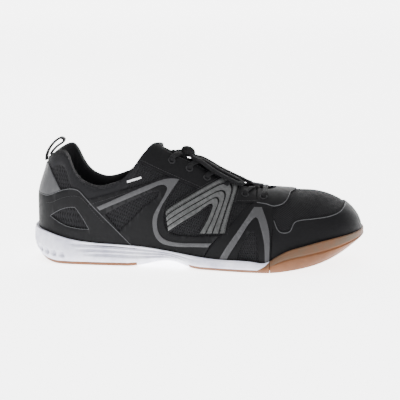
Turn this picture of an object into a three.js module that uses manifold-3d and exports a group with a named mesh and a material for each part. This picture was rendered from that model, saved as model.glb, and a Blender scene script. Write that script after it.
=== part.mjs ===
// Indoor court shoe for the right foot, built as a shoemaker builds it: every layer of the upper
// is a shell taken off one last, and the sole units are cut to seat that last.
// Millimetres. Work frame: X runs from the heel to the toe, -Y is the outer (lateral) side, +Z is up.
// The group is moved at the end so that its origin is the centre of the footprint, on the ground.
import * as THREE from "three";
import { mergeVertices } from "three/addons/utils/BufferGeometryUtils.js";
import Module from "manifold-3d";

const wasm = await Module();
wasm.setup();

// ---- Driving dimensions -------------------------------------------------------------------
const HEEL_X = 4; // back of the last
const TOE_X = 299; // front of the last
const GAP = 0.3; // clearance between neighbouring pieces
const SIMPLIFY = 0.06; // how far a finished face may be moved to save triangles
const STATIONS = 22; // slices of the last from heel to toe
const ARCH_STEPS = 12; // steps of one slice from the lateral to the medial floor

const MESH_T = 1.5; // base fabric of the upper
const OVERLAY_T = 1.0; // synthetic overlays
const TRIM_T = 0.8; // stripes and ribs on the overlays
const LINING_T = 1.1;
const COUNTER_T = 2.0; // heel stiffener
const PUFF_T = 0.9; // toe stiffener

const OUTSOLE_T = 3.2;
const BOARD_T = 1.8;
const SOCKLINER_T = 4.5;
const TOE_RUBBER_T = 3;

const FLEX_X = 218; // ball line, where the forefoot bends
const FLEX_Z = 9;
const FLEX_SLOPE = 0.63; // tangent of a little more than the 30 degrees of bend

const LACE_R = 1.8;
const EYELET_R = 2.7;
const EYELET_X = [211, 194, 176, 159, 143, 127]; // front row first
const EYELET_T = 0.29; // place of the eyelets across the arch of a slice
const UPPER_FACE = 2 * GAP + OVERLAY_T + TRIM_T; // outermost face of the upper, from the last
const LACE_OVER = UPPER_FACE + GAP + LACE_R; // height of a strand lying on the upper
const LACE_UNDER = -6.1; // and of one under the eyestay

const KNOT_X = 139;
const KNOT_HEIGHT = 8.4;
const BOW_HEIGHT = 8.5;
const PULL_HALF = 4; // half the width of the heel loop's webbing
const PULL_T = 1.4;
const THROAT_HALF = 9; // half the slot over the tongue
const THROAT_FRONT_X = 222;
const FAR = 80; // further than any point of the shoe from its middle plane

// ---- Small mathematics --------------------------------------------------------------------
/** Natural cubic curve through [x, value] knots. */
function curve(knots) {
  const n = knots.length;
  const x = knots.map((k) => k[0]);
  const y = knots.map((k) => k[1]);
  const second = new Array(n).fill(0);
  const work = new Array(n).fill(0);
  for (let i = 1; i < n - 1; i++) {
    const share = (x[i] - x[i - 1]) / (x[i + 1] - x[i - 1]);
    const p = share * second[i - 1] + 2;
    const bend = (y[i + 1] - y[i]) / (x[i + 1] - x[i]) - (y[i] - y[i - 1]) / (x[i] - x[i - 1]);
    second[i] = (share - 1) / p;
    work[i] = ((6 * bend) / (x[i + 1] - x[i - 1]) - share * work[i - 1]) / p;
  }
  for (let i = n - 2; i >= 0; i--) second[i] = second[i] * second[i + 1] + work[i];
  return (at) => {
    const v = Math.min(Math.max(at, x[0]), x[n - 1]);
    let i = 0;
    while (i < n - 2 && v > x[i + 1]) i++;
    const h = x[i + 1] - x[i];
    const a = (x[i + 1] - v) / h;
    const b = (v - x[i]) / h;
    const sag = ((a ** 3 - a) * second[i] + (b ** 3 - b) * second[i + 1]) * h * h;
    return a * y[i] + b * y[i + 1] + sag / 6;
  };
}
const clamp01 = (v) => Math.min(Math.max(v, 0), 1);
const smooth = (low, high, v) => {
  const s = clamp01((v - low) / (high - low));
  return s * s * (3 - 2 * s);
};
/** 1 until `from`, then rounds off to 0 at `to` as a superellipse does. */
const roundOff = (v, from, to, power) => (1 - clamp01((v - from) / (to - from)) ** power) ** (1 / power);

// ---- The last -----------------------------------------------------------------------------
const middleY = curve([[5, 0], [60, 0.5], [120, -1], [200, -2.5], [250, 0.5], [299, 6]]);
const lateralHalf = curve([
  [5, 33], [40, 33], [70, 33.5], [100, 33.5], [130, 35.5], [160, 40.5], [190, 45.5], [215, 48], [240, 48.5], [299, 48],
]);
const medialHalf = curve([
  [5, 32.5], [40, 32], [70, 31], [100, 29], [130, 30], [160, 35], [190, 42], [215, 46], [240, 46.5], [299, 46],
]);
const floorZ = curve([
  [5, 21], [30, 19.5], [60, 17], [90, 14.5], [120, 10.5], [150, 7.5], [180, 6.5], [210, 6.8], [236, 9.5], [262, 15],
  [282, 21.5], [299, 28],
]);
const ridgeZ = curve([
  [5, 150], [40, 147], [70, 134], [90, 119.5], [105, 111], [118, 105], [130, 99.5], [148, 91], [165, 81.5], [182, 73.5], [196, 68.8],
  [210, 67.2], [223, 66.8], [236, 66], [250, 65.5], [275, 65.5], [299, 66],
]);
const ridgeY = curve([[5, 0], [60, 1], [120, 4], [180, 4], [230, 3], [299, 6]]);
const wallPower = curve([[5, 2.8], [80, 2.6], [130, 2.2], [210, 2.2], [299, 2.3]]);
const archPower = curve([[5, 2.2], [80, 2.2], [130, 1.9], [210, 2], [299, 2.2]]);
/** How far the back of the heel leans towards the toe. */
const heelLean = (x, z) => 9.5 * smooth(58, 98, z) * clamp01(1 - (x - HEEL_X) / 80) ** 2;
const planEnd = (x) => roundOff(-x, -HEEL_X - 36, -HEEL_X, 2.3) * roundOff(x, 225, TOE_X, 2.2);
const profileEnd = (x) => roundOff(x, 250, TOE_X, 2.1);

/** A point of the last: t runs from -1 (lateral floor) over 0 (ridge) to 1 (medial floor). */
function lastPoint(x, t, ridge = ridgeZ) {
  const angle = ((1 - Math.abs(t)) * Math.PI) / 2;
  const up = Math.sin(angle) ** (2 / wallPower(x));
  const out = Math.max(Math.cos(angle), 0) ** (2 / archPower(x));
  const low = floorZ(x);
  const z = low + (ridge(x) - low) * profileEnd(x) * up;
  const half = (t < 0 ? -lateralHalf(x) : medialHalf(x)) * planEnd(x);
  const y = middleY(x) * (1 - up) + ridgeY(x) * up + half * out;
  return new THREE.Vector3(x + heelLean(x, z), y, z);
}
/** The outward normal of the last at (x, t). */
function lastNormal(x, t, ridge = ridgeZ) {
  const dx = 0.4;
  const dt = 0.01;
  const along = lastPoint(Math.min(x + dx, TOE_X - 0.01), t, ridge).sub(
    lastPoint(Math.max(x - dx, HEEL_X + 0.01), t, ridge),
  );
  const across = lastPoint(x, Math.min(t + dt, 1), ridge).sub(lastPoint(x, Math.max(t - dt, -1), ridge));
  return along.cross(across).normalize();
}
/** The last's surface moved out by `off` (negative is inwards). */
const onLast = (x, t, off = 0, ridge = ridgeZ) =>
  lastPoint(x, t, ridge).addScaledVector(lastNormal(x, t, ridge), off);

// ---- Closed meshes and solids -------------------------------------------------------------
/** A manifold solid from points and quads or triangles that share points by place. */
function solidFrom(points, faces) {
  const position = [];
  for (const face of faces)
    for (let k = 1; k < face.length - 1; k++)
      for (const i of [face[0], face[k], face[k + 1]]) position.push(points[i].x, points[i].y, points[i].z);
  const geometry = new THREE.BufferGeometry();
  geometry.setAttribute("position", new THREE.Float32BufferAttribute(position, 3));
  return solidOf(geometry);
}
/** A manifold solid from any closed three.js geometry. */
function solidOf(geometry) {
  const bare = geometry.index ? geometry.toNonIndexed() : geometry.clone();
  bare.deleteAttribute("normal");
  bare.deleteAttribute("uv");
  const merged = mergeVertices(bare, 1e-3);
  const index = merged.index.array;
  const kept = [];
  for (let i = 0; i < index.length; i += 3) {
    const [a, b, c] = index.slice(i, i + 3);
    if (a !== b && b !== c && a !== c) kept.push(a, b, c);
  }
  const mesh = new wasm.Mesh({
    numProp: 3,
    vertProperties: merged.attributes.position.array,
    triVerts: new Uint32Array(kept),
  });
  return new wasm.Manifold(mesh);
}
/** Slice places, close together at the rounded ends. */
const slices = Array.from(
  { length: STATIONS + 1 },
  (_, i) => HEEL_X + ((TOE_X - HEEL_X) * (1 - Math.cos((Math.PI * i) / STATIONS))) / 2,
);
/**
 * The closed body of the last grown by `off`, a number or a function of the bare point, with
 * straight walls `skirt` below the floor. The end slices shrink to one vertical line each.
 */
function grownLast(off, skirt = 8) {
  const points = [];
  const width = ARCH_STEPS + 3;
  const amount = (p) => (typeof off === "function" ? off(p) : off);
  slices.forEach((x, i) => {
    const end = i === 0 || i === STATIONS;
    const inside = Math.min(Math.max(x, HEEL_X + 0.05), TOE_X - 0.05);
    const row = [];
    for (let j = 0; j <= ARCH_STEPS; j++) {
      const t = -1 + (2 * j) / ARCH_STEPS;
      const bare = lastPoint(x, end ? -Math.abs(t) : t);
      const normal = end ? new THREE.Vector3(i === 0 ? -1 : 1, 0, 0) : lastNormal(inside, t);
      const p = bare.clone().addScaledVector(normal, amount(bare));
      if (end) p.y = middleY(x);
      row.push(p);
    }
    const foot = (p) => new THREE.Vector3(p.x, p.y, floorZ(x) - skirt);
    points.push(foot(row[0]), ...row, foot(row[ARCH_STEPS]));
  });
  const faces = [];
  for (let i = 0; i < STATIONS; i++) {
    const a = i * width;
    const b = a + width;
    for (let j = 0; j < width - 1; j++) faces.push([a + j, b + j, b + j + 1, a + j + 1]);
    faces.push([a + width - 1, b + width - 1, b, a]);
  }
  return facingOut(points, faces);
}
const facingOut = (points, faces) => {
  const made = solidFrom(points, faces);
  return made.volume() < 0 ? solidFrom(points, faces.map((f) => [...f].reverse())) : made;
};

/** A flat shape from runs of points: each run is a smooth line, and runs meet at corners. */
function outline(...runs) {
  const shape = new THREE.Shape();
  shape.moveTo(...runs[0][0]);
  for (const run of runs) {
    const points = run.map((p) => new THREE.Vector2(...p));
    if (points.length > 2) shape.splineThru(points.slice(1));
    else shape.lineTo(points[1].x, points[1].y);
  }
  return shape;
}
const polygon = (...points) => new THREE.Shape(points.map((p) => new THREE.Vector2(...p)));
const rectangle = (x0, y0, x1, y1) => polygon([x0, y0], [x1, y0], [x1, y1], [x0, y1]);
/** A side-view shape (x, z) made solid from y = low to y = high. */
function sideBlock(shape, low = -FAR, high = FAR, segments = 3) {
  const geometry = new THREE.ExtrudeGeometry(shape, { depth: high - low, bevelEnabled: false, curveSegments: segments });
  geometry.rotateX(Math.PI / 2);
  geometry.translate(0, high, 0);
  return solidOf(geometry);
}
/** A top-view shape (x, y) made solid from z = low to z = high. */
function topBlock(shape, low, high, segments = 4) {
  const geometry = new THREE.ExtrudeGeometry(shape, { depth: high - low, bevelEnabled: false, curveSegments: segments });
  geometry.translate(0, 0, low);
  return solidOf(geometry);
}
/** A round cord along points. */
function cord(points, radius = LACE_R, steps = points.length * 2) {
  const section = new THREE.Shape();
  section.absarc(0, 0, radius, 0, 2 * Math.PI);
  const path = points.length === 2 ? new THREE.LineCurve3(...points) : new THREE.CatmullRomCurve3(points);
  return solidOf(new THREE.ExtrudeGeometry(section, { steps, curveSegments: 3, bevelEnabled: false, extrudePath: path }));
}
const union = (solids) => solids.reduce((sum, s) => sum.add(s));
/** Everything between two heights that vary along the shoe, at any width. */
function band(low, high) {
  const at = [-30, 0, 10, 22, 36, 60, 90, 106, 120, 134, 148, 160, 190, 214, 230, 246, 262, 278, 292, 304, 330];
  return sideBlock(polygon(...at.map((x) => [x, low(x)]), ...at.map((x) => [x, high(x)]).reverse()));
}
const span = (low, high) => sideBlock(rectangle(low, -30, high, 160));
const aboveFloor = (lift) => band((x) => floorZ(x) + lift, () => 160);
const upperRoom = aboveFloor(GAP);
/** A layer of the upper between two distances from the last, standing on the footbed. */
const shell = (outer, inner) => grownLast(outer, 8).subtract(grownLast(inner, 14)).intersect(upperRoom);

// ---- Regions of the side view -------------------------------------------------------------
const topline = [
  [8, 92], [14, 95], [20, 99.5], [27, 103], [32, 102.5], [36, 97], [40, 88], [45, 80], [52, 74.5], [62, 71.5],
  [72, 73], [84, 78], [91, 85], [97, 93], [102, 100], [108, 104.5], [117, 106],
];
const aboveTopline = sideBlock(
  outline(topline, [[117, 106], [117, 160]], [[117, 160], [-20, 160]], [[-20, 160], [-20, 92]], [[-20, 92], [8, 92]]),
);
const throatSlot = topBlock(
  outline(
    [[60, ridgeY(100) - THROAT_HALF], [THROAT_FRONT_X - 9, ridgeY(210) - THROAT_HALF]],
    [
      [THROAT_FRONT_X - 9, ridgeY(210) - THROAT_HALF], [THROAT_FRONT_X - 2, ridgeY(210) - 6],
      [THROAT_FRONT_X, ridgeY(210)], [THROAT_FRONT_X - 2, ridgeY(210) + 6], [THROAT_FRONT_X - 9, ridgeY(210) + THROAT_HALF],
    ],
    [[THROAT_FRONT_X - 9, ridgeY(210) + THROAT_HALF], [60, ridgeY(100) + THROAT_HALF]],
    [[60, ridgeY(100) + THROAT_HALF], [60, ridgeY(100) - THROAT_HALF]],
  ),
  45,
  140,
);
const behindCutX = FLEX_X - GAP / 2;
const rearZone = span(-20, behindCutX);
const toeCutX = FLEX_X + GAP / 2;
const toeCutTop = toeCutX + (150 - FLEX_Z) * FLEX_SLOPE;
const toeZone = sideBlock(
  polygon([toeCutX, -20], [400, -20], [400, 150], [toeCutTop, 150], [toeCutX, FLEX_Z]),
);
const belowTopline = (solid) => solid.subtract(aboveTopline).subtract(throatSlot);

const heelOverlayRegion = outline(
  [[-10, 63.5], [8, 63], [17, 62.5], [29, 67.5], [38, 69.5], [45, 68], [51, 62], [60, 52], [80, 32], [100, 12]],
  [[100, 12], [100, -5]],
  [[100, -5], [-10, -5]],
  [[-10, -5], [-10, 63.5]],
);
const heelWindow = outline([[19, 44], [27, 49.5], [35, 52.5], [42, 53]], [[42, 53], [49, 43], [54.5, 33]], [[54.5, 33], [44, 33.5], [32, 36.5], [19, 44]]);
const heelTabRegion = outline([[-10, 63.9], [8, 63.4], [17, 62.9], [29, 67.9]], [[29, 67.9], [24, 77], [17, 89.5]], [[17, 89.5], [-10, 89.5]], [[-10, 89.5], [-10, 63.9]]);
const saddleRegion = outline(
  [[55, 60], [82, 67.5], [110, 75], [121, 79.5], [136, 79]],
  [[136, 79], [131, 71], [124.5, 58], [122, 46], [124.5, 35], [132, 30], [146, 29], [162, 30], [172, 30.5]],
  [[172, 30.5], [164, 21], [155, 5]],
  [[155, 5], [100, 5]],
  [[100, 5], [55, 58]],
  [[55, 58], [55, 60]],
);
const saddleWindow = outline([[69, 47], [84, 55], [100, 62.5], [112, 67], [118, 67.5]], [[118, 67.5], [116, 62], [105, 54], [93, 42], [82, 31]], [[82, 31], [69, 47]]);
const saddleStripe = outline(
  [[62, 53.5], [80, 61.5], [100, 70], [118, 76.5], [128, 78], [135, 77]],
  [[135, 77], [129, 68.5], [121, 56], [117, 46], [116.5, 37], [119, 29.5], [126, 24.5], [138, 23], [153, 23.5], [166, 24]],
  [[166, 24], [163, 20.5]],
  [[163, 20.5], [151, 20], [136, 19.5], [122, 21.5], [115, 28], [112.5, 37], [113, 46], [118, 56], [123, 65], [124.5, 70.5], [119, 73], [105, 67.5], [82, 58], [64.5, 50.5]],
  [[64.5, 50.5], [62, 53.5]],
);
const ribRegion = outline(
  [[124, 50], [128, 54], [150, 66.5], [165, 73.5], [176, 77], [188, 77]],
  [[188, 77], [186, 66], [183.5, 55], [180.5, 43], [178.5, 33]],
  [[178.5, 33], [166, 31.6], [155, 32]],
  [[155, 32], [161, 42], [166.5, 56], [164, 57.5], [152, 48.5], [138, 40], [127, 32.6]],
  [[127, 32.6], [123.5, 40], [124, 50]],
);
const forefootRegion = outline(
  [[156.5, 4], [167, 22.5], [179, 35.5], [188, 45], [197, 53.5], [203, 57]],
  [[203, 57], [230, 57]],
  [[230, 57], [230, 4]],
  [[230, 4], [156.5, 4]],
);
const forefootWindow = outline([[186, 5], [192, 22], [197.5, 31.5], [202, 35], [205.5, 32.5], [207.5, 22], [208.5, 5]], [[208.5, 5], [186, 5]]);
const chevronRegion = outline(
  [[172, 9], [180, 22], [191, 37.5], [198.5, 48], [203, 54]],
  [[203, 54], [210, 54]],
  [[210, 54], [215, 43], [217.5, 31], [217.6, 9]],
  [[217.6, 9], [213.8, 9]],
  [[213.8, 9], [213, 25], [210, 37], [205.5, 46.5], [199, 41.5], [191, 29], [184, 18], [178.5, 9]],
  [[178.5, 9], [172, 9]],
);
const eyestayRegion = outline(
  [[96, 95], [105, 90.5], [122, 82], [148, 71.5], [166, 64], [184, 58.3], [203, 57.6], [221, 55.3], [229, 57.5], [234, 63], [237, 70]],
  [[237, 70], [237, 120]],
  [[237, 120], [96, 120]],
  [[96, 120], [96, 95]],
);
const toeRegion = outline(
  [[205, 60], [221, 45], [224, 38.5], [228.5, 35], [234, 36.5], [239, 43], [246, 45.3], [256, 46], [268, 47], [277, 50.5], [283, 58], [284, 70]],
  [[284, 70], [310, 70]],
  [[310, 70], [310, 4]],
  [[310, 4], [205, 4]],
  [[205, 4], [205, 60]],
);

// ---- Pieces -------------------------------------------------------------------------------
const shoe = new THREE.Group();
const finishes = {
  gum: { color: 0xb0784a, roughness: 0.6 },
  foam: { color: 0xeeeef2, roughness: 0.75 },
  board: { color: 0xd8d2c4, roughness: 0.9 },
  sockliner: { color: 0x2b2b2d, roughness: 0.95 },
  stiffener: { color: 0x8c8478, roughness: 0.8 },
  lining: { color: 0x1c1c1e, roughness: 0.95 },
  mesh: { color: 0x232325, roughness: 0.9 },
  overlay: { color: 0x333335, roughness: 0.55 },
  grey: { color: 0x7c7f82, roughness: 0.6 },
  silver: { color: 0xa3a39f, roughness: 0.45 },
  lace: { color: 0x1a1a1b, roughness: 0.9 },
  clear: { color: 0x3a3a3c, roughness: 0.2 },
  label: { color: 0xe8e8e8, roughness: 0.6 },
};
/** Puts a solid in the shoe as a named mesh; slivers of a cut below 1 mm3 are left off. */
function add(name, solid, finish) {
  const whole = solid.simplify(SIMPLIFY).decompose().sort((a, b) => b.volume() - a.volume())[0];
  const { numProp, numVert, vertProperties, triVerts } = whole.getMesh();
  const position = new Float32Array(numVert * 3);
  for (let i = 0; i < numVert; i++) position.set(vertProperties.subarray(i * numProp, i * numProp + 3), i * 3);
  const geometry = new THREE.BufferGeometry();
  geometry.setAttribute("position", new THREE.BufferAttribute(position, 3));
  geometry.setIndex(new THREE.BufferAttribute(triVerts, 1));
  const mesh = new THREE.Mesh(geometry, new THREE.MeshStandardMaterial({ ...finishes[finish], metalness: 0 }));
  mesh.name = name;
  shoe.add(mesh);
  return whole;
}
const SIDES = [
  { side: "lateral", low: -FAR, high: 0 },
  { side: "medial", low: 0, high: FAR },
];

// Layer depths below the base fabric's face.
const counterFace = MESH_T + GAP;
const innerDepth = (p) => {
  const heelLow = 1 - smooth(70, 84, p.x);
  const collar = smooth(52, 66, p.z) * (1 - smooth(70, 90, p.x));
  const toe = smooth(228, 240, p.x);
  const depth = counterFace + COUNTER_T * heelLow + (PUFF_T + GAP) * toe + GAP;
  return Math.max(depth, counterFace + GAP + 6.2 * collar);
};
const meshShell = shell(0, -MESH_T);
const overlayShell = shell(GAP + OVERLAY_T, GAP);
const trimShell = shell(UPPER_FACE, 2 * GAP + OVERLAY_T);
const liningShell = shell((p) => -innerDepth(p), (p) => -innerDepth(p) - LINING_T);

/** One end of the lace, from the front bar to under the bow: [x, t, distance from the last] stops. */
function laceRun(side) {
  const stops = [[EYELET_X[0] + 1, side * (EYELET_T - 0.08), LACE_OVER]];
  const lift = side < 0 ? 1.9 : -2.3; // the two ends pass over and under each other on the ridge
  EYELET_X.forEach((x, row) => {
    const here = side * (row % 2 ? -1 : 1);
    stops.push([x, here * EYELET_T, LACE_OVER - 2], [x, here * EYELET_T, LACE_UNDER + 1.5]);
    const next = EYELET_X[row + 1];
    if (next === undefined) return;
    const at = (s) => x + (next - x) * s;
    stops.push([at(0.1), here * 0.2, LACE_UNDER + 0.6], [at(0.5), 0, lift]);
    stops.push([at(0.8), -here * 0.2, LACE_OVER], [at(0.95), -here * (EYELET_T - 0.06), LACE_OVER]);
  });
  const last = EYELET_X[EYELET_X.length - 1];
  const end = side * (EYELET_X.length % 2 ? 1 : -1);
  stops.push([last + 3, end * 0.18, LACE_UNDER + 0.6], [last + 7, end * 0.07, -0.5], [KNOT_X - 1, end * 0.03, KNOT_HEIGHT]);
  return stops.map(([x, t, off]) => onLast(x, t, off));
}
/** The whole threaded lace as a round cord of the given radius. */
function threadedLace(radius) {
  const bar = [-1, -0.5, 0, 0.5, 1].map((s) => onLast(EYELET_X[0] + 1, s * (EYELET_T - 0.07), LACE_OVER));
  return union([cord(bar, radius, 6), ...[-1, 1].map((side) => cord(laceRun(side), radius, 76))]);
}
const drill = (x, t) => {
  const normal = lastNormal(x, t);
  const hole = new THREE.CylinderGeometry(EYELET_R, EYELET_R, 14, 10);
  hole.applyQuaternion(new THREE.Quaternion().setFromUnitVectors(new THREE.Vector3(0, 1, 0), normal));
  hole.translate(...onLast(x, t, -1).toArray());
  return solidOf(hole);
};
const laceRoom = threadedLace(LACE_R + 0.45);
const eyelets = union([laceRoom, ...EYELET_X.flatMap((x) => [drill(x, -EYELET_T), drill(x, EYELET_T)])]);

/** A plan slice of the sole: the last's floor line pushed out by a flare, at a height. */
function soleLoop(flare, height) {
  const plan = (x, side) => {
    const y = middleY(x) + (side < 0 ? -lateralHalf(x) : medialHalf(x)) * planEnd(x);
    return new THREE.Vector2(x, y);
  };
  const loop = (side) =>
    slices.map((x, i) => {
      const end = i === 0 ? -1 : i === STATIONS ? 1 : 0;
      const before = plan(Math.max(x - 0.2, HEEL_X), side);
      const after = plan(Math.min(x + 0.2, TOE_X), side);
      const along = after.sub(before).normalize();
      const normal = end ? new THREE.Vector2(end, 0) : new THREE.Vector2(along.y * -side, along.x * side);
      const at = plan(x, side).addScaledVector(normal, flare(x));
      return new THREE.Vector3(at.x, at.y, height(at.x));
    });
  return [loop(-1), loop(1)];
}
/** A closed slab through plan slices, from the lowest to the highest. */
function soleSlab(levels) {
  const points = [];
  const faces = [];
  const n = STATIONS + 1;
  for (const [lateral, medial] of levels) points.push(...lateral, ...medial);
  for (let k = 0; k < levels.length - 1; k++) {
    const a = k * 2 * n;
    const b = a + 2 * n;
    for (let i = 0; i < STATIONS; i++) {
      faces.push([a + i, a + i + 1, b + i + 1, b + i]);
      faces.push([a + n + i + 1, a + n + i, b + n + i, b + n + i + 1]);
    }
  }
  const top = (levels.length - 1) * 2 * n;
  for (let i = 0; i < STATIONS; i++) {
    faces.push([i, n + i, n + i + 1, i + 1]);
    faces.push([top + i, top + i + 1, top + n + i + 1, top + n + i]);
  }
  return solidFrom(points, faces);
}
const undersideLine = curve([
  [-1, 8], [4, 5], [12, 2], [24, 0], [40, 0], [90, 0], [108, 3], [122, 6.2], [134, 5.6], [148, 1], [157, 0], [190, 0], [215, 0],
  [236, 2.3], [265, 8.2], [283, 15], [301, 23],
]);
const underside = (x) => Math.max(0, undersideLine(x)); // flat where the heel and the ball stand
const soleEdge = curve([
  [-1, 32], [7, 31], [16, 29.5], [33, 25], [52, 21.6], [73, 20.2], [96, 19], [124, 16], [155, 12], [178, 10.8],
  [205, 10], [215, 10], [221, 13.5], [231, 19.5], [245, 24], [265, 28.5], [299, 32.5],
]);
const flareAt = (heel, side, toe) => curve([[4, heel], [40, side], [150, side], [240, side], [299, toe]]);
const rimFlare = flareAt(4.2, 3.6, 2.6);
const bulgeFlare = flareAt(5, 4.6, 2.6);
const groundFlare = flareAt(-3, 0, -7);
const soleBody = soleSlab([
  soleLoop(groundFlare, underside),
  soleLoop((x) => (groundFlare(x) + 2 * bulgeFlare(x)) / 3, (x) => underside(x) + OUTSOLE_T * 0.6),
  soleLoop(bulgeFlare, (x) => underside(x) + (soleEdge(x) - underside(x)) * 0.5),
  soleLoop(rimFlare, soleEdge),
]);
const treadLayer = (top) => band(() => -20, (x) => underside(x) + top);
const footCup = grownLast(UPPER_FACE + GAP).intersect(aboveFloor(0));

function buildSole() {
  const rubberLayer = soleBody.intersect(treadLayer(OUTSOLE_T));
  const heelRubberEnd = 98;
  const ballRubberStart = 146;
  add("outsole_heel", rubberLayer.intersect(span(-20, heelRubberEnd)), "gum");
  add("outsole_ball", rubberLayer.intersect(span(ballRubberStart, behindCutX)), "gum");
  const rubberRoom = treadLayer(OUTSOLE_T + GAP);
  const midsole = soleBody
    .subtract(rubberRoom.intersect(span(-20, heelRubberEnd + GAP).add(span(ballRubberStart - GAP, 330))))
    .subtract(footCup)
    .intersect(rearZone);
  add("midsole", midsole, "foam");

  const toeBlock = soleBody.intersect(toeZone).subtract(footCup);
  const wedge = (inset) =>
    grownLast(-3 * inset, 60).subtract(treadLayer(TOE_RUBBER_T + inset)).intersect(span(0, 285 - inset));
  add("outsole_toe", toeBlock.subtract(wedge(0)), "gum");
  add("midsole_toe", toeBlock.intersect(wedge(GAP)), "foam");
}

function buildFootbed() {
  const inside = grownLast((p) => -innerDepth(p) - LINING_T - GAP);
  const layer = (from, to) => band((x) => floorZ(x) + from, (x) => floorZ(x) + to);
  const board = inside.intersect(layer(GAP, GAP + BOARD_T));
  add("board_rear", board.intersect(rearZone), "board");
  add("board_toe", board.intersect(toeZone), "board");
  const low = 2 * GAP + BOARD_T;
  const liner = grownLast((p) => -innerDepth(p) - LINING_T - 1.6).intersect(layer(low, low + SOCKLINER_T));
  add("sockliner_heel", liner.intersect(rearZone), "sockliner");
  add("sockliner_toe", liner.intersect(toeZone), "sockliner");
}

function buildUpperCore() {
  const collarZone = sideBlock(polygon([-10, 58], [40, 58], [70, 54], [92, 62], [98, 80], [98, 150], [-10, 150]));
  const foam = shell(-counterFace, (p) => -innerDepth(p) + GAP).intersect(collarZone);
  add("collar_foam", belowTopline(foam), "lining");
  const counterZone = sideBlock(polygon([-10, -5], [70, -5], [66, 20], [56, 40], [42, 51], [20, 57.4], [-10, 57.4]));
  add("heel_counter", shell(-counterFace, -counterFace - COUNTER_T).intersect(counterZone), "stiffener");
  const puffZone = sideBlock(polygon([244, -5], [320, -5], [320, 90], [272, 90], [262, 50], [244, 30]));
  add("toe_puff", shell(-counterFace, -counterFace - PUFF_T).intersect(puffZone), "stiffener");
  const vampStart = 186;
  add("quarter_lining", belowTopline(liningShell).subtract(laceRoom).intersect(span(-20, vampStart - GAP)), "lining");
  add("vamp_lining", liningShell.subtract(throatSlot).subtract(laceRoom).intersect(span(vampStart, 330)), "lining");

  const quarters = belowTopline(meshShell).subtract(laceRoom).intersect(span(-20, vampStart - GAP));
  for (const { side, low, high } of SIDES) {
    const half = topBlock(rectangle(-20, low, 330, high), -20, 150);
    const seam = side === "medial" ? GAP : 0;
    add(`quarter_${side}`, quarters.intersect(half.translate([0, seam, 0])), "mesh");
  }
  add("vamp_mesh", meshShell.subtract(throatSlot).subtract(laceRoom).intersect(span(vampStart, 330)), "mesh");
}

function buildOverlays() {
  const overlay = overlayShell.subtract(throatSlot);
  add("heel_overlay", overlay.intersect(sideBlock(heelOverlayRegion)).subtract(sideBlock(heelWindow)), "overlay");
  add("heel_tab", overlay.intersect(sideBlock(heelTabRegion)), "grey");
  const heelRoom = sideBlock(heelOverlayRegion).translate([1.5 * GAP, 0, GAP]);
  const forefootRoom = sideBlock(forefootRegion).translate([-GAP, 0, GAP]);
  const eyestayRoom = sideBlock(eyestayRegion).translate([0, 0, -GAP]);
  for (const { side, low, high } of SIDES) {
    const cut = (shape) => sideBlock(shape, low, high);
    const others = heelRoom.add(forefootRoom).add(eyestayRoom);
    add(`saddle_${side}`, overlay.intersect(cut(saddleRegion)).subtract(cut(saddleWindow)).subtract(others), "overlay");
    add(`saddle_stripe_${side}`, trimShell.intersect(cut(saddleStripe)), "grey");
    add(`rib_panel_${side}`, trimShell.intersect(cut(ribRegion)).subtract(throatSlot).subtract(eyelets), "silver");
    add(`eyestay_${side}`, overlay.intersect(cut(eyestayRegion)).subtract(eyelets).intersect(span(-20, 205)), "overlay");
    const forefoot = overlay.intersect(cut(forefootRegion)).intersect(rearZone).subtract(cut(forefootWindow));
    add(`forefoot_overlay_${side}`, forefoot.subtract(eyestayRoom), "overlay");
    add(`chevron_${side}`, trimShell.intersect(cut(chevronRegion)).intersect(rearZone), "grey");
  }
  add("throat_tip", overlay.intersect(sideBlock(eyestayRegion)).subtract(eyelets).intersect(span(205 + GAP, 330)), "overlay");
  add("toe_overlay", overlay.intersect(sideBlock(toeRegion)).intersect(toeZone), "overlay");
  const label = sideBlock(polygon([87, 73.5], [103, 78], [102, 81], [86, 76.5]), -FAR, 0);
  add("side_label", overlayShell.intersect(label), "label");
}

function buildTongue() {
  const from = 95;
  const to = 213;
  const rows = 16;
  const columns = 10;
  const edge = curve([[95, 0.3], [112, 0.38], [150, 0.44], [213, 0.4]]);
  const top = (share) => -5 - 5 * smooth(0.1, 0.6, Math.abs(share));
  const thickness = (x, share) => (2.2 + 5 * (1 - share * share)) * (x < 100 ? 0.7 : 1);
  const points = [];
  const faces = [];
  for (const layer of [0, 1])
    for (let i = 0; i <= rows; i++) {
      const x = from + ((to - from) * i) / rows;
      for (let j = 0; j <= columns; j++) {
        const share = -1 + (2 * j) / columns;
        const depth = top(share) - layer * thickness(x, share);
        points.push(onLast(x, share * edge(x), depth));
      }
    }
  const w = columns + 1;
  const under = (rows + 1) * w;
  for (let i = 0; i < rows; i++)
    for (let j = 0; j < columns; j++) {
      const a = i * w + j;
      faces.push([a, a + w, a + w + 1, a + 1]);
      faces.push([under + a, under + a + 1, under + a + w + 1, under + a + w]);
    }
  for (let i = 0; i < rows; i++) {
    const a = i * w;
    const b = a + columns;
    faces.push([a, under + a, under + a + w, a + w]);
    faces.push([b, b + w, under + b + w, under + b]);
  }
  for (let j = 0; j < columns; j++) {
    const b = rows * w + j;
    faces.push([j, j + 1, under + j + 1, under + j]);
    faces.push([b, under + b, under + b + 1, b + 1]);
  }
  add("tongue", facingOut(points, faces).subtract(laceRoom), "mesh");
}

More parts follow.
